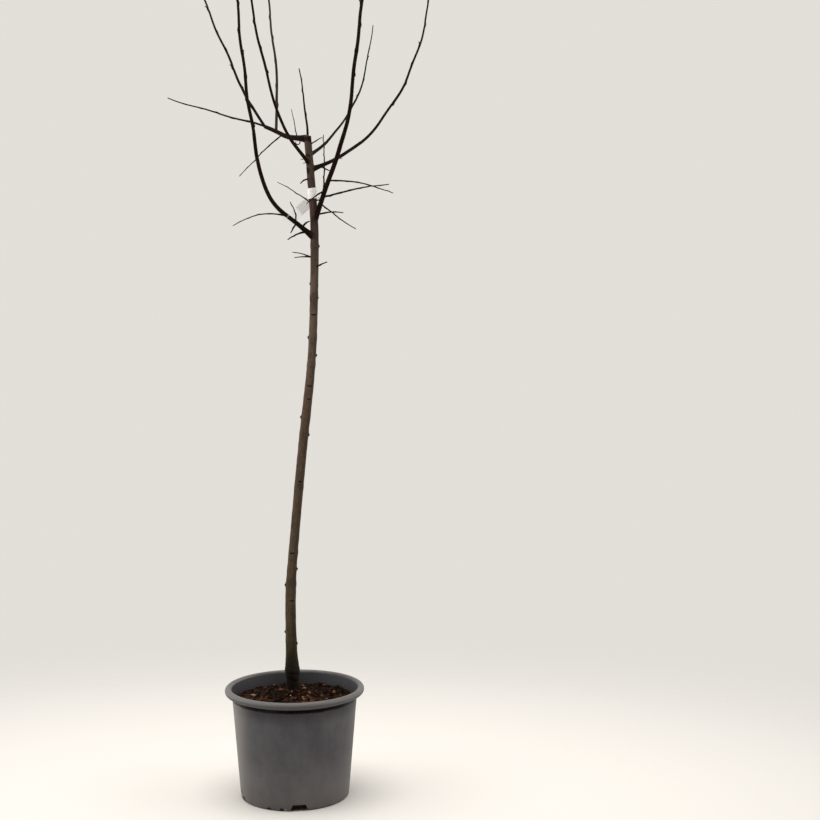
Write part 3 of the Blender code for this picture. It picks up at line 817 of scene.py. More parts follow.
# Side twigs: parent, distance along it (height on the trunk), azimuth, rise at foot and tip,
# length, foot diameter, phase
twigs = (
    ("trunk", 1.2125, 312, 22, 5, 0.052, 0.0045, 3),
    ("trunk", 1.234, 174, 28, 5, 0.057, 0.0035, 3),
    ("trunk", 1.237, 198, 6, -10, 0.050, 0.0039, 2),
    ("trunk", 1.356, 190, 38, 23, 0.098, 0.0031, 5),
    ("trunk", 1.416, 225, -10, -41, 0.038, 0.0046, 2),
    ("trunk", 1.488, 342, 36, 20, 0.042, 0.0036, 2),
    ("left_low", 0.038, 60, 46, 11, 0.037, 0.0056, 5),
    ("left_low", 0.022, 225, -6, -34, 0.065, 0.0050, 1),
    ("left_low", 0.056, 212, 92, 50, 0.052, 0.0037, 0),
    ("left_low", 0.055, 245, -43, -43, 0.038, 0.0048, 5),
    ("left_low", 0.080, 190, 15, -36, 0.132, 0.0038, 1),
    ("right_low", 0.017, 12, 17, -7, 0.065, 0.0044, 1),
    ("right_low", 0.044, 325, -33, -31, 0.122, 0.0037, 3),
    ("right_low", 0.060, 345, 12, 7, 0.160, 0.0048, 5),
    ("right_low", 0.076, 205, -27, -44, 0.057, 0.0043, 4),
    ("right_low", 0.066, 93, 40, 62, 0.203, 0.0041, 3),
    ("right_low", 0.100, 8, 2, -22, 0.153, 0.0041, 0),
    ("left_top", 0.027, 150, 78, 76, 0.071, 0.0028, 3),
    ("left_top", 0.066, 200, -38, -52, 0.144, 0.0035, 2),
)

# Finer twigs that only this model has, in the same terms
fineTwigs = (
    ("trunk", 1.4585, 200, 4, -14, 0.023, 0.0026, 2),
    ("trunk", 1.4505, 205, 2, -16, 0.019, 0.0026, 4),
    ("right_mid", 0.026, 345, -28, -24, 0.030, 0.0046, 3),
    ("right_mid", 0.074, 350, -22, 8, 0.014, 0.0016, 2),
    ("right_low", 0.050, 190, 42, 72, 0.014, 0.0018, 1),
    ("trunk", 1.3660, 350, 2, 0, 0.0200, 0.0050, 1),
)
# a curled end of a twig that hangs under the arm
hook = dict(along=0.0200, drop=0.0095, curl=0.0048, turn=200, diameter=(0.0026, 0.0018))

growth = {
    "limbStride": 0.026,
    "twigStride": 0.020,
    "waver": 4.0,
    "waverLength": 0.13,
    "tipSink": 0.001,
    "twigTipShare": 0.45,
    # buds, spurs and side shoots: the seeded rule of the solids
    "budSpacing": 0.052,
    "budShift": 0.010,
    "budTurn": 137.5,
    "budTurnSpread": 40,
    "spurLength": (0.007, 0.012),
    "spurRise": 42,
    "spurShare": (0.62, 0.28),
    "spurEnd": 0.92,
    "sideShootStart": 0.56,
    "sideShootLength": (0.05, 0.13),
    "sideShootShare": (0.55, 0.25),
    "sideShootRise": (52, 66),
    "longShoot": 0.30,
    "clearance": 0.003,
    "lineRead": 0.012,
    # finish of this model
    "spacing": 0.003,
    "twigSpacing": 0.0025,
    "fineSpacing": 0.0015,
    # how far the first bud is along, and each from the last
    "farTwigBuds": (0.045, 0.038),
    "trunkTwigBuds": (0.022, 0.024),
    "boughTwigBuds": (0.018, 0.024),
    "sideShootBuds": (0.014, 0.021),
    "tipTrim": 0.0035,
    "nodeSwell": 0.18,
    "nodeLength": 0.0045,
    "nodeKink": 0.0011,
}


def heading(azimuth, rise):
    flat = math.cos(math.radians(rise))
    return Vector((
        flat * math.cos(math.radians(azimuth)),
        flat * math.sin(math.radians(azimuth)),
        math.sin(math.radians(rise)),
    ))


def readCurve(knots, value):
    # a smooth curve through (place, size) knots, read at one place
    last = len(knots) - 2
    index = 0
    while index < last and value > knots[index + 1][0]:
        index += 1
    before, start = knots[max(index - 1, 0)], knots[index]
    end, after = knots[index + 1], knots[min(index + 2, last + 1)]
    span = end[0] - start[0]
    share = (value - start[0]) / span
    slopeStart = (end[1] - before[1]) / (end[0] - before[0]) * span
    slopeEnd = (after[1] - start[1]) / (after[0] - start[0]) * span
    square = share * share
    cube = square * share
    return (start[1] * (2 * cube - 3 * square + 1) + slopeStart * (cube - 2 * square + share)
            + end[1] * (3 * square - 2 * cube) + slopeEnd * (cube - square))


def trunkPoint(height):
    share = (height - trunk["foot"]) / (trunk["top"] - trunk["foot"])
    return Vector((readCurve(trunk["line"], height), blend(*trunk["depth"], share), height))


def trunkRadius(height):
    flare = trunk["flare"] * bell(height, trunk["foot"], trunk["flareHeight"])
    radius = 0.5 * (readCurve(trunk["girth"], height) + flare)
    for place, extra in trunk["swellings"]:
        radius += extra * bell(height, place, trunk["swellingHeight"])
    return radius


def limbLine(start, azimuth, rise, bend, length, phase, steps):
    foot, past, tip = rise
    stride = length / steps
    point = Vector(start)
    points = [point.copy()]
    for index in range(steps):
        along = (index + 0.5) * stride
        turned = smoothStep((along - bend[0]) / bend[1] + 0.5)
        angle = foot + (past - foot) * turned + (tip - past) * along / length
        wave = 2 * math.pi * along / growth["waverLength"] + phase
        fade = min(along / growth["waverLength"], 1.0)
        angle += growth["waver"] * fade * math.sin(wave)
        side = growth["waver"] * fade * math.sin(0.62 * wave + 1.3)
        point = point + heading(azimuth + side, min(angle, 92)) * stride
        points.append(point.copy())
    return points


def taper(first, last, count):
    return [0.5 * (first + (last - first) * index / (count - 1)) for index in range(count)]


def distancesAlong(points):
    # how far along the line each of its points lies
    found = [0.0]
    for first, second in zip(points, points[1:]):
        found.append(found[-1] + (second - first).length)
    return found


def lineLength(points):
    return distancesAlong(points)[-1]


def pointAlong(points, distance):
    for first, second in zip(points, points[1:]):
        span = (second - first).length
        if distance <= span:
            return first.lerp(second, distance / span)
        distance -= span
    return points[-1].copy()


def cutLine(points, radii, distance):
    # the two parts of a tapering line, cut at a distance from its start
    travelled = distancesAlong(points)
    for index in range(len(points) - 1):
        if travelled[index + 1] > distance:
            share = (distance - travelled[index]) / (travelled[index + 1] - travelled[index])
            place = points[index].lerp(points[index + 1], share)
            radius = blend(radii[index], radii[index + 1], share)
            lower = (points[:index + 1] + [place], radii[:index + 1] + [radius])
            upper = ([place] + points[index + 1:], [radius] + radii[index + 1:])
            return lower, upper


def finer(points, radii, spacing):
    # the same line with closer points, smoothed through the old ones
    closer, sizes = [], []
    last = len(points) - 1
    for index in range(last):
        start, end = points[index], points[index + 1]
        before = points[index - 1] if index else start + (start - end)
        after = points[index + 2] if index + 2 <= last else end + (end - start)
        slope = end - before
        bend = 2 * before - 5 * start + 4 * end - after
        twist = 3 * start - before - 3 * end + after
        pieces = max(round((end - start).length / spacing), 1)
        for step in range(pieces):
            t = step / pieces
            closer.append(0.5 * (2 * start + slope * t + bend * t ** 2 + twist * t ** 3))
            sizes.append(blend(radii[index], radii[index + 1], t))
    return closer + [points[-1].copy()], sizes + [radii[-1]]


def limbFrom(start, size):
    # a limb's line and its radii, from the row that describes it
    steps = size.get("steps", int(size["length"] / growth["limbStride"]))
    line = limbLine(start, size["azimuth"], size["rise"], size["bend"], size["length"], size["phase"], steps)
    return line, taper(*size["diameter"], len(line))


def planLimbs():
    # centre lines of the boughs, the arm and the shoots, as the solids have them
    lines, stems = {}, {}
    for name, size in boughs.items():
        lines[name], stems[name] = cutLine(*limbFrom(trunkPoint(size["at"]), size), size["split"])
    lines["left_top"] = limbFrom(trunkPoint(arm["at"]), arm)
    line = lines["left_top"][0]
    for name, size in shoots.items():
        if size["parent"] == "trunk":
            start = trunkPoint(size["along"])
        elif size["parent"] == "arm":
            start = pointAlong(line, size["along"])
        else:
            start = line[-1] - (line[-1] - line[-2]).normalized() * growth["tipSink"]
        stems[name] = limbFrom(start, size)
    return lines, stems


def planTwig(lines, size):
    parent, along, azimuth, foot, tip, length, diameter, phase = size
    start = trunkPoint(along) if parent == "trunk" else pointAlong(lines[parent][0], along)
    steps = max(int(length / growth["twigStride"]), 3)
    line = limbLine(start, azimuth, (foot, foot, tip), (0.02, 0.02), length, phase, steps)
    return line, taper(diameter, diameter * growth["twigTipShare"], len(line))


def touches(points, radius, own, others):
    for other, (line, radii) in others.items():
        if other == own:
            continue
        for place in points:
            for centre, reach in zip(line, radii):
                if (place - centre).length < radius + reach + growth["clearance"] + growth["lineRead"]:
                    return True
    return False


def planSideGrowth(name, line, radii, seed, others):
    # what stands at each bud of a shoot: a bud, a spur or a side shoot
    draw = random.Random(seed)
    length = lineLength(line)
    found = []
    for index in range(1, int(length / growth["budSpacing"])):
        along = growth["budSpacing"] * index + growth["budShift"] * draw.random()
        azimuth = growth["budTurn"] * index + growth["budTurnSpread"] * draw.random() + 90 * seed
        reach = draw.uniform(*growth["sideShootLength"])
        spur = draw.uniform(*growth["spurLength"])
        share = along / length
        base = pointAlong(line, along)
        thick = blend(radii[0], radii[-1], share)
        twig = sizes = None
        if share > growth["sideShootStart"] and index % 2 == 0 and length > growth["longShoot"]:
            low, high = growth["sideShootRise"]
            first, last = growth["sideShootShare"]
            twig = limbLine(base, azimuth, (low, low, high), (0.03, 0.03), reach * (1.5 - share), index, 5)
            sizes = taper(2 * thick * first, 2 * thick * last, len(twig))
        elif index % 3 == 0 and share < growth["spurEnd"]:
            twig = [base, base + heading(azimuth, growth["spurRise"]) * (thick + spur)]
            sizes = [thick * part for part in growth["spurShare"]]
        if twig and touches(twig[1:], sizes[0], name, others):
            twig = None
        found.append((along, azimuth, twig, sizes))
    return found


def across(direction, azimuth):
    # the way out of a limb's side that is nearest to the azimuth
    out = heading(azimuth, 0)
    out = out - direction * out.dot(direction)
    return out.normalized()


def onward(points, index):
    # the way in which a line runs at one of its points
    return (points[min(index + 1, len(points) - 1)] - points[max(index - 1, 0)]).normalized()


def dressLine(points, radii, nodes):
    # swells the line at its nodes and leans it a little towards their buds
    shaped, sizes = [], []
    for index, (point, radius, along) in enumerate(zip(points, radii, distancesAlong(points))):
        moved = point.copy()
        for place, azimuth in nodes:
            near = bell(along, place, growth["nodeLength"])
            if near > 0.01:
                radius = radius * (1 + growth["nodeSwell"] * near)
                moved += across(onward(points, index), azimuth) * growth["nodeKink"] * near
        shaped.append(moved)
        sizes.append(radius)
    return shaped, sizes


def roundTip(points, radii):
    # carries the end on by a few smaller rings, so that a tube ends in a small dome
    ahead = (points[-1] - points[-2]).normalized()
    radius = radii[-1]
    rings = ((0.45, 0.90), (0.80, 0.62), (0.97, 0.26))  # distance and size, in radii
    return (points + [points[-1] + ahead * radius * distance for distance, _ in rings],
            radii + [radius * size for _, size in rings])


def trimTip(points, radii, amount):
    return cutLine(points, radii, lineLength(points) - amount)[0]


def tubes(name, limbs, sides):
    # one mesh of tapering tubes with closed ends
    curve = bpy.data.curves.new(name, "CURVE")
    curve.dimensions = "3D"
    curve.bevel_depth = 1.0
    curve.bevel_resolution = sides // 2 - 2
    curve.use_fill_caps = True
    for points, radii in limbs:
        spline = curve.splines.new("POLY")
        spline.points.add(len(points) - 1)
        for control, point, radius in zip(spline.points, points, radii):
            control.co = (*point, 1.0)
            control.radius = radius
    piece = addObject(name, curve)
    pick(piece)
    bpy.ops.object.convert(target="MESH")
    weld(piece)
    return piece


lines, stems = planLimbs()
twigLines = [planTwig(lines, size) for size in twigs]
print("limbs: %d boughs, %d stems and %d side twigs planned" % (len(lines), len(stems), len(twigLines)))


# Bark skin: trunk and boughs in one closed skin, with collars, knobs, scars and fine relief

skin = {
    "voxel": 0.00134,
    "smoothing": 10,
    "boughSpacing": 0.0025,
    # swelling at a bough's foot and how far it reaches, along the bough
    "collar": (0.42, 0.010),
    "collars": {"right_mid": (0.75, 0.013), "right_low": (0.36, 0.012), "left_low": (0.60, 0.017)},
    "knobRadii": (0.0042, 0.0027),
    "knobRise": 15,
    # how softly trunk gives way to bough, and how far from a crotch or a knob the true radius holds
    "shareWidth": 0.006,
    "junctionFade": 0.010,
    "knobFade": 0.004,
    "ridges": 0.00022,  # height of the long ridges of the bark
    "hollows": 0.00045,  # height of the slow humps
    "wrinkles": 0.00012,
    "rootRidges": 0.0022,
    "rootHeight": 0.026,
    "flatFoot": 0.0015,
    "scarDepth": 0.0009,
    "scarLip": 0.0007,
    "paleRing": (0.0800, 0.0820),  # a rubbed ring on the lowest left bough: where it starts and ends
}


def trunkTube():
    count = trunk["rings"]
    heights = [blend(trunk["foot"], trunk["top"], index / count) for index in range(count + 1)]
    return [trunkPoint(height) for height in heights], [trunkRadius(height) for height in heights]


def boughTube(name):
    # a bough's line and radii, with the swelling at its foot
    points, radii = finer(*lines[name], skin["boughSpacing"])
    swell, reach = skin["collars"].get(name, skin["collar"])
    footRadius = 0.5 * readCurve(trunk["girth"], points[0].z)
    sizes = []
    for radius, along in zip(radii, distancesAlong(points)):
        beyond = max(along - footRadius, 0.0) / reach
        sizes.append(radius * (1 + swell * math.exp(-beyond)))
    return points, sizes


def knobTube(height, azimuth, length):
    base = trunkPoint(height)
    radius = 0.5 * readCurve(trunk["girth"], height)
    reach = radius / math.cos(math.radians(skin["knobRise"])) + length
    tip = base + heading(azimuth, skin["knobRise"]) * reach
    first, last = skin["knobRadii"]
    middle = base.lerp(tip, 0.86)
    return [base, middle, tip], [first, 0.5 * (first + last), 0.45 * last]


def limbFinder(limbs):
    # gives a function that finds the limb nearest to a point: the way out from its axis, its radius,
    # the point's place in that limb's own terms, and the number of the nearest sample
    samples = []
    for offset, (points, radii) in enumerate(limbs):
        side = None
        for index, (point, radius, along) in enumerate(zip(points, radii, distancesAlong(points))):
            ahead = onward(points, index)
            side = across(ahead, 20) if side is None else (side - ahead * side.dot(ahead)).normalized()
            samples.append((point, radius, ahead, side, ahead.cross(side), 0.3 * offset + along))
    tree = kdtree.KDTree(len(samples))
    for index, sample in enumerate(samples):
        tree.insert(sample[0], index)
    tree.balance()

    def nearest(point):
        _, index, _ = tree.find(point)
        centre, radius, ahead, side, other, along = samples[index]
        away = point - centre
        forward = away.dot(ahead)
        place = Vector((away.dot(side), away.dot(other), along + forward))
        return away - ahead * forward, radius, place, index

    return nearest


def scarMark(height, azimuth, radius):
    # 1 in the dark line of a scar or of a crease at the foot, and the lift of a scar's cushion
    dark = 0.0
    lift = 0.0
    for place, turn, width in trunk["scars"]:
        if abs(height - place) > 0.012:
            continue
        away = (azimuth - turn + 180) % 360 - 180
        sideways = math.radians(away) * radius / (0.0005 * width)
        if abs(sideways) > 1.6:
            continue
        line = (height - place - 0.0016 * sideways * sideways) / 0.0016
        ends = smoothStep(1.25 - abs(sideways) * (1.0 + 0.25 * sideways))
        dark = max(dark, bell(line) * ends)
        lift += bell(height - place, 0.0035, 0.0030) * bell(1.1 * sideways)
    for place, depth in trunk["creases"]:
        line = (height - place - 0.002 * math.sin(math.radians(2 * azimuth))) / 0.0020
        dark = max(dark, bell(line) * depth / skin["scarDepth"])
    return dark, lift


def barkRelief(place, radius, boughShare):
    # fine relief in a limb's own terms: long ridges, slow humps and ring wrinkles
    full = min(radius / 0.010, 1.0)
    ridge = noise.noise(Vector((place.x * 520, place.y * 520, place.z * 70)))
    hump = noise.noise(Vector((place.x * 90, place.y * 90, place.z * 55 + 7)))
    wrinkle = noise.noise(Vector((place.x * 110, place.y * 110, place.z * 620)))
    return full * (skin["ridges"] * ridge + skin["hollows"] * hump * (1 - 0.5 * boughShare)
                   + skin["wrinkles"] * wrinkle)


def shapeSkin(piece, boughTubes, knobTubes):
    # sets every point at its limb's true radius, adds the relief and keeps what the paint needs
    nearestBough = limbFinder(boughTubes)
    nearestKnob = limbFinder(knobTubes)
    points = readPoints(piece)
    limbPlace = np.zeros_like(points)
    boughShares, scars = [], []
    for index, (x, y, z) in enumerate(points):
        point = Vector((x, y, z))
        height = min(max(point.z, trunk["foot"]), trunk["top"])
        middle = trunkPoint(height)
        fromTrunk = Vector((point.x - middle.x, point.y - middle.y, 0.0))
        trunkSize = trunkRadius(height)
        trunkGap = fromTrunk.length - trunkSize
        out, boughSize, boughPlace, _ = nearestBough(point)
        boughGap = out.length - boughSize
        knobOut, knobSize, _, _ = nearestKnob(point)
        knobGap = knobOut.length - knobSize
        share = smoothStep(0.5 + (trunkGap - boughGap) / skin["shareWidth"])
        apart = smoothStep(abs(trunkGap - boughGap) / skin["junctionFade"])
        apart *= smoothStep(knobGap / skin["knobFade"])
        onTrunk = share < 0.5
        away, gap, size, place = out, boughGap, boughSize, boughPlace
        if onTrunk:
            away, gap, size = fromTrunk, trunkGap, trunkSize
            place = Vector((fromTrunk.x, fromTrunk.y, height))
        mark = 0.0
        # the cut top, the axes and the crotches stay as the remesh left them
        if height < trunk["top"] - 0.004 and away.length > 0.0005 and abs(gap) < 0.0015:
            relief = barkRelief(place, size, share)
            dark = 0.0
            if onTrunk:
                azimuth = math.degrees(math.atan2(fromTrunk.y, fromTrunk.x))
                dark, lift = scarMark(height, azimuth, trunkSize)
                relief += skin["scarLip"] * lift - skin["scarDepth"] * dark
                ridge = math.sin(math.radians(5 * azimuth) + 4 * noise.noise(place * 30))
                relief += skin["rootRidges"] * bell(height, trunk["foot"], skin["rootHeight"]) * ridge
                if height - trunk["foot"] < skin["flatFoot"]:
                    apart = 0.0
            point += away.normalized() * (relief - gap * apart)
            mark = max(dark, 0.8 * (1.0 - smoothStep(knobGap / 0.0020)))
        points[index] = point
        limbPlace[index] = place
        boughShares.append(share)
        scars.append(mark)
    piece.data.vertices.foreach_set("co", points.ravel())
    setAttribute(piece, "limbPlace", limbPlace)
    setAttribute(piece, "boughShare", boughShares)
    setAttribute(piece, "scar", scars)
    piece.data.update()


bark = {
    # colour by height above the ground, from the foot, which is painted near black as shade, to the fork
    "byHeight": (
        (0.270, (0.0085, 0.0065, 0.0035)), (0.305, (0.018, 0.013, 0.0055)), (0.328, (0.050, 0.042, 0.015)),
        (0.370, (0.078, 0.056, 0.0280)), (0.500, (0.090, 0.063, 0.0380)), (0.600, (0.082, 0.054, 0.0340)),
        (0.900, (0.092, 0.061, 0.0400)), (1.000, (0.122, 0.085, 0.0600)), (1.235, (0.118, 0.080, 0.0580)),
        (1.285, (0.085, 0.0550, 0.0430)), (1.315, (0.047, 0.0260, 0.0215)), (1.365, (0.070, 0.0380, 0.0320)),
        (1.400, (0.076, 0.0480, 0.0380)),
    ),
    "bough": (0.0115, 0.0042, 0.0022),
    "streak": (0.150, 0.112, 0.082),
    "pore": (0.200, 0.150, 0.110),
    "deep": (0.020, 0.0135, 0.0090),
    "boughDeep": (0.0045, 0.0018, 0.0011),
    "paintedSideShade": (0.022, 0.0170, 0.0110),
    "scar": (0.006, 0.004, 0.0035),
    "ring": (0.34, 0.27, 0.22),
}


def barkMaterial():
    material, sockets, wire = newMaterial("barkSkin", Specular_IOR_Level=0.10)
    place = attribute(wire, "limbPlace", 1)
    share = attribute(wire, "boughShare")
    height = axisOf(objectPlace(wire), 2) + grain(place, 40.0) * 0.03 - 0.015
    streak = grain(stretched(place, 1, 1, 0.10), 420.0, 3.0)
    cloud = grain(stretched(place, 1, 1, 0.45), 60.0, 4.0)
    crackle = grain(stretched(place, 1, 1, 0.35), 900.0, 2.0)
    top = bark["byHeight"][-1][0]
    colour = ramp(height * (1.0 / top), [(level / top, tone) for level, tone in bark["byHeight"]])
    # painted shade on the trunk's right side
    paintedSideShadeShare = between(axisOf(place, 0) + cloud * 0.006 - 0.003, 0.001, 0.007) * (1.0 - share)
    pale = between(streak, 0.52, 0.74) * between(cloud, 0.40, 0.62) * (0.62 - share * 0.42)
    deep = below(cloud, 0.34, 0.56) * 0.42 + below(crackle, 0.34, 0.50) * 0.50
    poreCells = cells(stretched(place, 1, 1, 2.4), 150.0)
    pores = below(poreCells, 0.10, 0.20) * between(grain(place, 75.0), 0.50, 0.60)
    along = axisOf(place, 2)
    start, end = skin["paleRing"]
    ring = between(along, start - 0.0004, start) * below(along, end, end + 0.0004) * between(share, 0.9, 1.0)
    colour = layered(colour, dict(bark, hollow=mixed(share, bark["deep"], bark["boughDeep"])), (
        (paintedSideShadeShare * 0.55, "paintedSideShade"),
        (share, "bough"),
        (pale * between(height, 0.27, 0.34), "streak"),
        (deep, "hollow"),
        (pores * (0.75 - share * 0.45) * between(height, 0.34, 0.45), "pore"),
        (between(attribute(wire, "scar"), 0.15, 0.65), "scar"),
        (ring * 0.9, "ring"),
    ))
    (share * 0.5).to(sockets["Metallic"])  # takes the shine off the dark boughs
    relief = streak * 0.5 + crackle * 0.35 + pores * 0.5 + cloud * 0.3
    finishLook(sockets, colour, 0.62 + streak * 0.22, relief, 0.6, 0.0005)
    return material


def makeSkin():
    boughTubes = [boughTube(name) for name in lines]
    knobTubes = [knobTube(*size) for size in trunk["knobs"]]
    # the arm's end stays flat, because a shoot goes on from it
    ends = [tube if name == "left_top" else roundTip(*tube) for name, tube in zip(lines, boughTubes)]
    piece = join("barkSkin", [
        tubes("stem", [trunkTube()], 36),
        tubes("limbs", ends, 16),
        tubes("knobs", knobTubes, 12),
    ])
    modify(piece, "REMESH", mode="VOXEL", voxel_size=skin["voxel"])
    modify(piece, "SMOOTH", factor=0.5, iterations=skin["smoothing"])
    shapeSkin(piece, boughTubes, knobTubes)
    smooth(piece)
    piece.data.materials.append(barkMaterial())
    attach(piece, "root")
    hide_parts("trunk", *["bough_" + name for name in lines])
    return piece


barkSkin = makeSkin()
print("bark: one skin of %d faces for trunk and boughs" % len(barkSkin.data.polygons))


# Shoots and twigs, grown on from the boughs

twigLook = {
    "stem": (0.0110, 0.0050, 0.0032),
    "tip": (0.016, 0.0085, 0.0065),
    "greyed": (0.085, 0.064, 0.052),
    "deep": (0.0045, 0.0022, 0.0015),
    "pore": (0.15, 0.11, 0.085),
    "paleLimbs": {"left_upright": 0.55, "leftTopTwig": 0.9},
    "budLength": (0.0024, 0.0044),
    "youngRadii": (0.0008, 0.0030),  # all young below the first, not at all above the second
}


def twigMaterial(name):
    material, sockets, wire = newMaterial(name, Specular_IOR_Level=0.04)
    place = attribute(wire, "limbPlace", 1)
    streak = grain(stretched(place, 1, 1, 0.12), 900.0, 3.0)
    cloud = grain(stretched(place, 1, 1, 0.4), 90.0, 3.0)
    poreCells = cells(stretched(place, 1, 1, 0.7), 330.0)
    pores = below(poreCells, 0.08, 0.18) * between(cloud, 0.45, 0.6)
    colour = mixed(attribute(wire, "youth"), twigLook["stem"], twigLook["tip"])
    colour = layered(colour, twigLook, (
        (between(streak, 0.48, 0.72) * 0.15 + attribute(wire, "pale") * 0.8, "greyed"),
        (below(cloud, 0.32, 0.55) * 0.5, "deep"),
        (pores * 0.6, "pore"),
    ))
    finishLook(sockets, colour, 0.55 + streak * 0.25, streak * 0.6 + pores * 0.4, 0.5, 0.0003)
    return material


def budShape():
    # a pointed, flattened bud with a small ledge at its foot
    dropPicks()
    bpy.ops.mesh.primitive_uv_sphere_add(segments=8, ring_count=7, radius=0.5)
    shape = bpy.context.object
    for vertex in shape.data.vertices:
        rise = vertex.co.z + 0.5
        wide = 0.62 if rise > 0.2 else 0.86
        narrowing = 1.0 - 0.55 * smoothStep((rise - 0.35) / 0.65)
        vertex.co.x = vertex.co.x * wide * narrowing - 0.10 * rise * rise
        vertex.co.y *= (wide + 0.12) * narrowing
        vertex.co.z = rise - 0.12
    return shape


budPlaces = []
budDraw = random.Random(41)


def addBud(place, ahead, out, radius, length, lean):
    # a bud lies close along the limb, its flat side to it
    direction = (ahead * math.cos(math.radians(lean)) + out * math.sin(math.radians(lean))).normalized()
    flat = (out - direction * out.dot(direction)).normalized()
    side = direction.cross(flat)
    turn = Matrix((flat, side, direction)).transposed().to_4x4()
    matrix = Matrix.Translation(place + out * radius * 0.86) @ turn @ Matrix.Scale(length, 4)
    budPlaces.append((0, matrix, budDraw.random()))


def budSize(radius):
    low, high = twigLook["budLength"]
    return min(max(1.45 * radius, low), high) * budDraw.uniform(0.85, 1.15)


def frameAlong(points, distance):
    place = pointAlong(points, distance)
    ahead = pointAlong(points, distance + 0.004) - pointAlong(points, max(distance - 0.004, 0.0))
    return place, ahead.normalized()


def tipBud(points, radii):
    ahead = (points[-1] - points[-2]).normalized()
    out = across(ahead, 200)
    addBud(points[-1] - ahead * 0.0006, ahead, out, 0.0, max(2.1 * radii[-1], 0.0024), 0)


def growLimb(points, radii, nodes, spacing):
    # the finished tube of a limb: trimmed for its tip bud, closer points, swollen nodes, round tip
    points, radii = trimTip(points, radii, growth["tipTrim"])
    points, radii = finer(points, radii, spacing)
    length = lineLength(points)
    for along, azimuth in nodes:
        place, ahead = frameAlong(points, along)
        radius = blend(radii[0], radii[-1], along / length)
        addBud(place, ahead, across(ahead, azimuth), radius, budSize(radius), 14 + 10 * budDraw.random())
    points, radii = dressLine(points, radii, nodes)
    tipBud(points, radii)
    return roundTip(points, radii)


def twigNodes(length, first, spacing, azimuth):
    return [(first + spacing * index, azimuth + growth["budTurn"] * index)
            for index in range(max(int((length - first - 0.006) / spacing) + 1, 0))]


def growShoots():
    # tubes of the shoots' stems, and of their side shoots and spurs
    stemTubes, sideTubes = [], []
    others = dict(lines)
    others.update({"twig%d" % index: line for index, line in enumerate(twigLines)})
    others.update({name + "Shoot": stem for name, stem in stems.items()})
    for seed, (name, (line, radii)) in enumerate(stems.items()):
        found = planSideGrowth(name + "Shoot", line, radii, seed, others)
        nodes = [(along, azimuth) for along, azimuth, _, _ in found]
        # the upper half has buds between the ones of the plan as well
        length = lineLength(line)
        half = 0.5 * growth["budSpacing"]
        upper = [(along + half, azimuth + 222) for along, azimuth in nodes if along > 0.5 * length]
        upper = [node for node in upper if node[0] < length - 0.012]
        if name in boughs:
            start = line[0] - (line[1] - line[0]).normalized() * 0.002
            line = [start] + line
            radii = [radii[0] * 0.9] + radii
            nodes = [(0.003, 0)] + [(along + 0.002, azimuth) for along, azimuth in nodes]
        stemTubes.append((name, growLimb(line, radii, nodes + upper, growth["spacing"])))
        for _, azimuth, twig, sizes in found:
            if not twig:
                continue
            if len(twig) > 2:
                sideNodes = twigNodes(lineLength(twig), *growth["sideShootBuds"], azimuth + 60)
                sideTubes.append(("side", growLimb(twig, sizes, sideNodes, growth["spacing"])))
            else:
                middle = twig[0].lerp(twig[1], 0.5)
                spurRadii = taper(2 * sizes[0], 2 * sizes[1], 3)
                spur = finer([twig[0], middle, twig[1]], spurRadii, growth["fineSpacing"])
                spur = dressLine(*spur, [(0.004, azimuth + 90), (0.0065, azimuth - 80)])
                tipBud(*spur)
                sideTubes.append(("spur", roundTip(*spur)))
    return stemTubes, sideTubes


def hookLine():
    # straight down from the arm, then round to the left and up
    start = pointAlong(lines["left_top"][0], hook["along"])
    points = [start - Vector((0, 0, hook["drop"] * share)) for share in (0.0, 0.5, 1.0)]
    centre = points[-1] - Vector((hook["curl"], 0, 0))
    for index in range(1, 13):
        turn = math.radians(hook["turn"] * index / 12)
        points.append(centre + Vector((math.cos(turn), 0, -math.sin(turn))) * hook["curl"])
    return points, taper(*hook["diameter"], len(points))


def growTwigs():
    # tubes of the far twig, the side twigs, the fine ones and the hook
    line, radii = limbFrom(pointAlong(stems["left_top"][0], farTwig["along"]), farTwig)
    line[0] = lines["left_top"][0][-1] - heading(farTwig["azimuth"], farTwig["rise"][0]) * 0.004
    nodes = twigNodes(farTwig["length"], *growth["farTwigBuds"], 60)
    grown = [("far", growLimb(line, radii, nodes, growth["spacing"]))]
    for index, (size, (line, radii)) in enumerate(zip(twigs, twigLines)):
        parent, _, _, rise, _, length, _, _ = size
        gaps = growth["trunkTwigBuds" if parent == "trunk" else "boughTwigBuds"]
        nodes = twigNodes(length, *gaps, 137 * index)
        name = "leftTopTwig" if parent == "left_top" and rise > 0 else "twig"
        grown.append((name, growLimb(line, radii, nodes, growth["twigSpacing"])))
    for size in fineTwigs:
        grown.append(("fine", growLimb(*planTwig(lines, size), [], growth["fineSpacing"])))
    grown.append(("fine", roundTip(*hookLine())))
    return grown


def makeTwigPiece(name, named, sides, nodes):
    # one piece of tubes, with what its paint needs at every point
    limbs = [tube for _, tube in named]
    piece = tubes(name, limbs, sides)
    nearest = limbFinder(limbs)
    ends = np.cumsum([len(points) for points, _ in limbs])
    young, old = twigLook["youngRadii"]
    places, youth, pale = [], [], []
    for point in readPoints(piece):
        _, radius, place, index = nearest(Vector(point))
        places.append(tuple(place))
        youth.append(min(max((old - radius) / (old - young), 0.0), 1.0))
        limb = int(np.searchsorted(ends, index, side="right"))
        pale.append(twigLook["paleLimbs"].get(named[limb][0], 0.0))
    setAttribute(piece, "limbPlace", places)
    setAttribute(piece, "youth", youth)
    setAttribute(piece, "pale", pale)
    smooth(piece)
    piece.data.materials.append(twigMaterial(name + "Bark"))
    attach(piece, "root")
    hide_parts(*nodes)


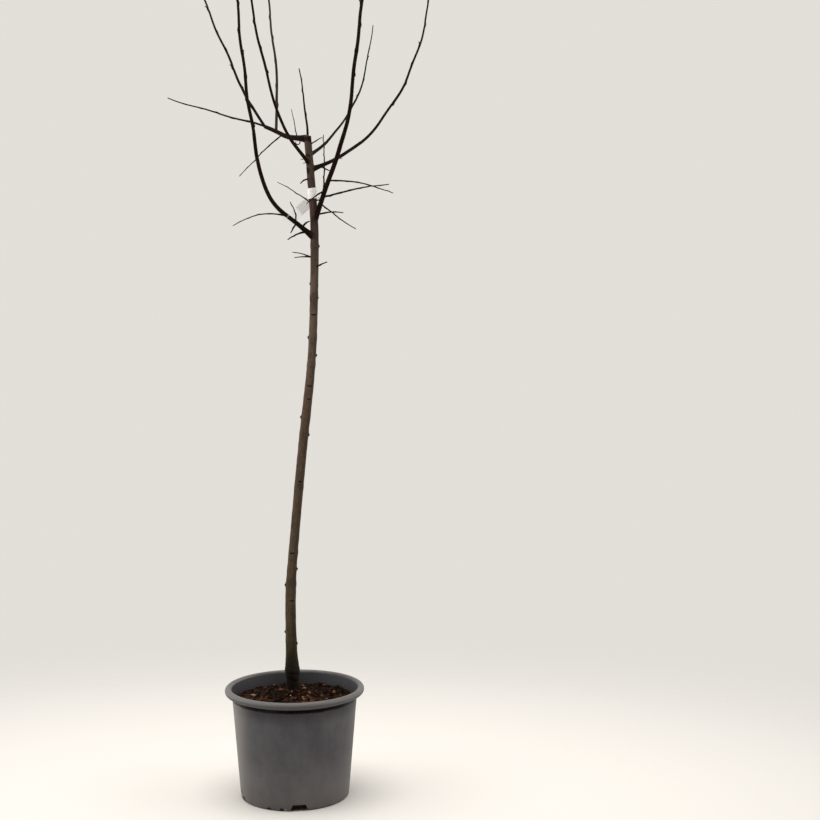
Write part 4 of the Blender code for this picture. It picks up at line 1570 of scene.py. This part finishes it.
def budMaterial():
    material, sockets, wire = newMaterial("budScales", Specular_IOR_Level=0.08)
    fuzz = grain(objectPlace(wire), 1500.0, 2.0)
    colour = mixed(attribute(wire, "tone"), twigLook["deep"], twigLook["tip"])
    colour = mixed(between(fuzz, 0.50, 0.75) * 0.3, colour, twigLook["greyed"])
    finishLook(sockets, colour, 0.55 + fuzz * 0.25, fuzz, 0.5, 0.0003)
    return material


def makeBuds():
    buds = scatter("buds", [budShape()], budPlaces)
    smooth(buds)
    buds.data.materials.append(budMaterial())
    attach(buds, "root")


def makeCrown():
    nodes = sorted(frame["nodes"])
    stemTubes, sideTubes = growShoots()
    twigTubes = growTwigs() + sideTubes
    makeTwigPiece("shootStems", stemTubes, 12, [name for name in nodes if name.startswith("shoots_")])
    makeTwigPiece("sideTwigs", twigTubes, 10, [name for name in nodes if name.startswith("twig_")])
    makeBuds()
    print("crown: %d stems, %d twigs, %d buds" % (len(stemTubes), len(twigTubes), len(budPlaces)))


makeCrown()


# Label: one blank strip, looped round the trunk, whose tail hangs to the left

label = {
    "height": 1.381,
    "width": 0.024,
    "radius": 0.0103,
    "thickness": 0.0006,
    "tailLength": 0.082,
    "slant": 41,
    "azimuth": 177,
    "drop": 0.010,
    "curl": 0.004,
    "bandTurn": 372,  # degrees that the band goes round
    "bandPieces": 72,
    "tailPieces": 36,
    "rows": 5,
    "tilt": 6.0,  # degrees that the band's right side stands higher
    "white": (0.87, 0.865, 0.855),
    "shade": (0.56, 0.535, 0.525),
    "scuffed": (0.45, 0.42, 0.39),
    "shadeEnd": 0.52,  # share of the tail that is greyed
}


upright = Vector((0, 0, 1))


def bandPath():
    # points of the band's middle with the way up of its width, once round the trunk
    centre = trunkPoint(label["height"])
    path = []
    count = label["bandPieces"]
    for index in range(count + 1):
        share = index / count
        azimuth = label["azimuth"] - 90 + label["bandTurn"] * share
        reach = label["radius"] + 0.0007 * share + 0.0004 * math.sin(math.radians(3 * azimuth))
        place = centre + heading(azimuth, 0) * reach
        place.z += math.tan(math.radians(label["tilt"])) * reach * math.cos(math.radians(azimuth))
        path.append((place, upright))
    return path


def tailPath():
    # the tail hangs straight from the back of the band, down to the left, with a slight curl
    outward = heading(label["azimuth"], 0)
    back = heading(label["azimuth"] - 90, 0)
    place = trunkPoint(label["height"]) + back * (label["radius"] + 0.0010)
    place.z -= label["drop"]
    path = []
    count = label["tailPieces"]
    step = label["tailLength"] / count
    for index in range(count + 1):
        share = index / count
        slant = math.radians(label["slant"] + 3 * share)
        ahead = outward * math.cos(slant) - upright * math.sin(slant)
        up = outward * math.sin(slant) + upright * math.cos(slant)
        curl = back * (label["curl"] * share * (1.0 - share))
        path.append((place + curl, up))
        place = place + ahead * step
    return path


def labelMaterial():
    material, sockets, wire = newMaterial("labelPlastic", Specular_IOR_Level=0.30)
    place = objectPlace(wire)
    tail = attribute(wire, "tail")
    onTail = between(tail, 0.001, 0.01)
    end = label["shadeEnd"]
    haze = grain(place, 120.0, 3.0)
    scuff = grain(stretched(place, 1, 1, 0.2), 700.0, 2.0)
    shaded = onTail * below(tail, end - 0.04, end + 0.03)
    colour = mixed(between(haze, 0.35, 0.7) * 0.10 + shaded * 0.88, label["white"], label["shade"])
    colour = mixed(between(scuff, 0.62, 0.75) * 0.06, colour, label["scuffed"])
    # the tail is thin enough for light to show through it, most of all at its end
    (1.0 - onTail * 0.66 - between(tail, end - 0.02, end + 0.05) * 0.22).to(sockets["Alpha"])
    finishLook(sockets, colour, 0.38 + haze * 0.25, haze * 0.5 + scuff * 0.2, 0.06, 0.0002)
    return material


def makeStrip(name, path, tailShare):
    # a flat grid whose rows are carried along the path, then given its thickness and soft edges
    last = len(path) - 1
    dropPicks()
    bpy.ops.mesh.primitive_grid_add(x_subdivisions=last, y_subdivisions=label["rows"], size=1.0)
    strip = bpy.context.object
    strip.name = strip.data.name = name
    tails = []
    for vertex in strip.data.vertices:
        index = round((vertex.co.x + 0.5) * last)
        place, up = path[index]
        tails.append(tailShare * index / last)
        vertex.co = place + up * vertex.co.y * label["width"]
    setAttribute(strip, "tail", tails)
    modify(strip, "SOLIDIFY", thickness=label["thickness"], offset=0.0)
    modify(strip, "BEVEL", width=0.00018, segments=2, limit_method="ANGLE", angle_limit=math.radians(50))
    return strip


def makeLabel():
    strip = join("labelStrip", [makeStrip("band", bandPath(), 0.0), makeStrip("tail", tailPath(), 1.0)])
    smooth(strip, 40)
    strip.data.materials.append(labelMaterial())
    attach(strip, "root")
    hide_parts("label")


makeLabel()
print("label: blank strip and tail")
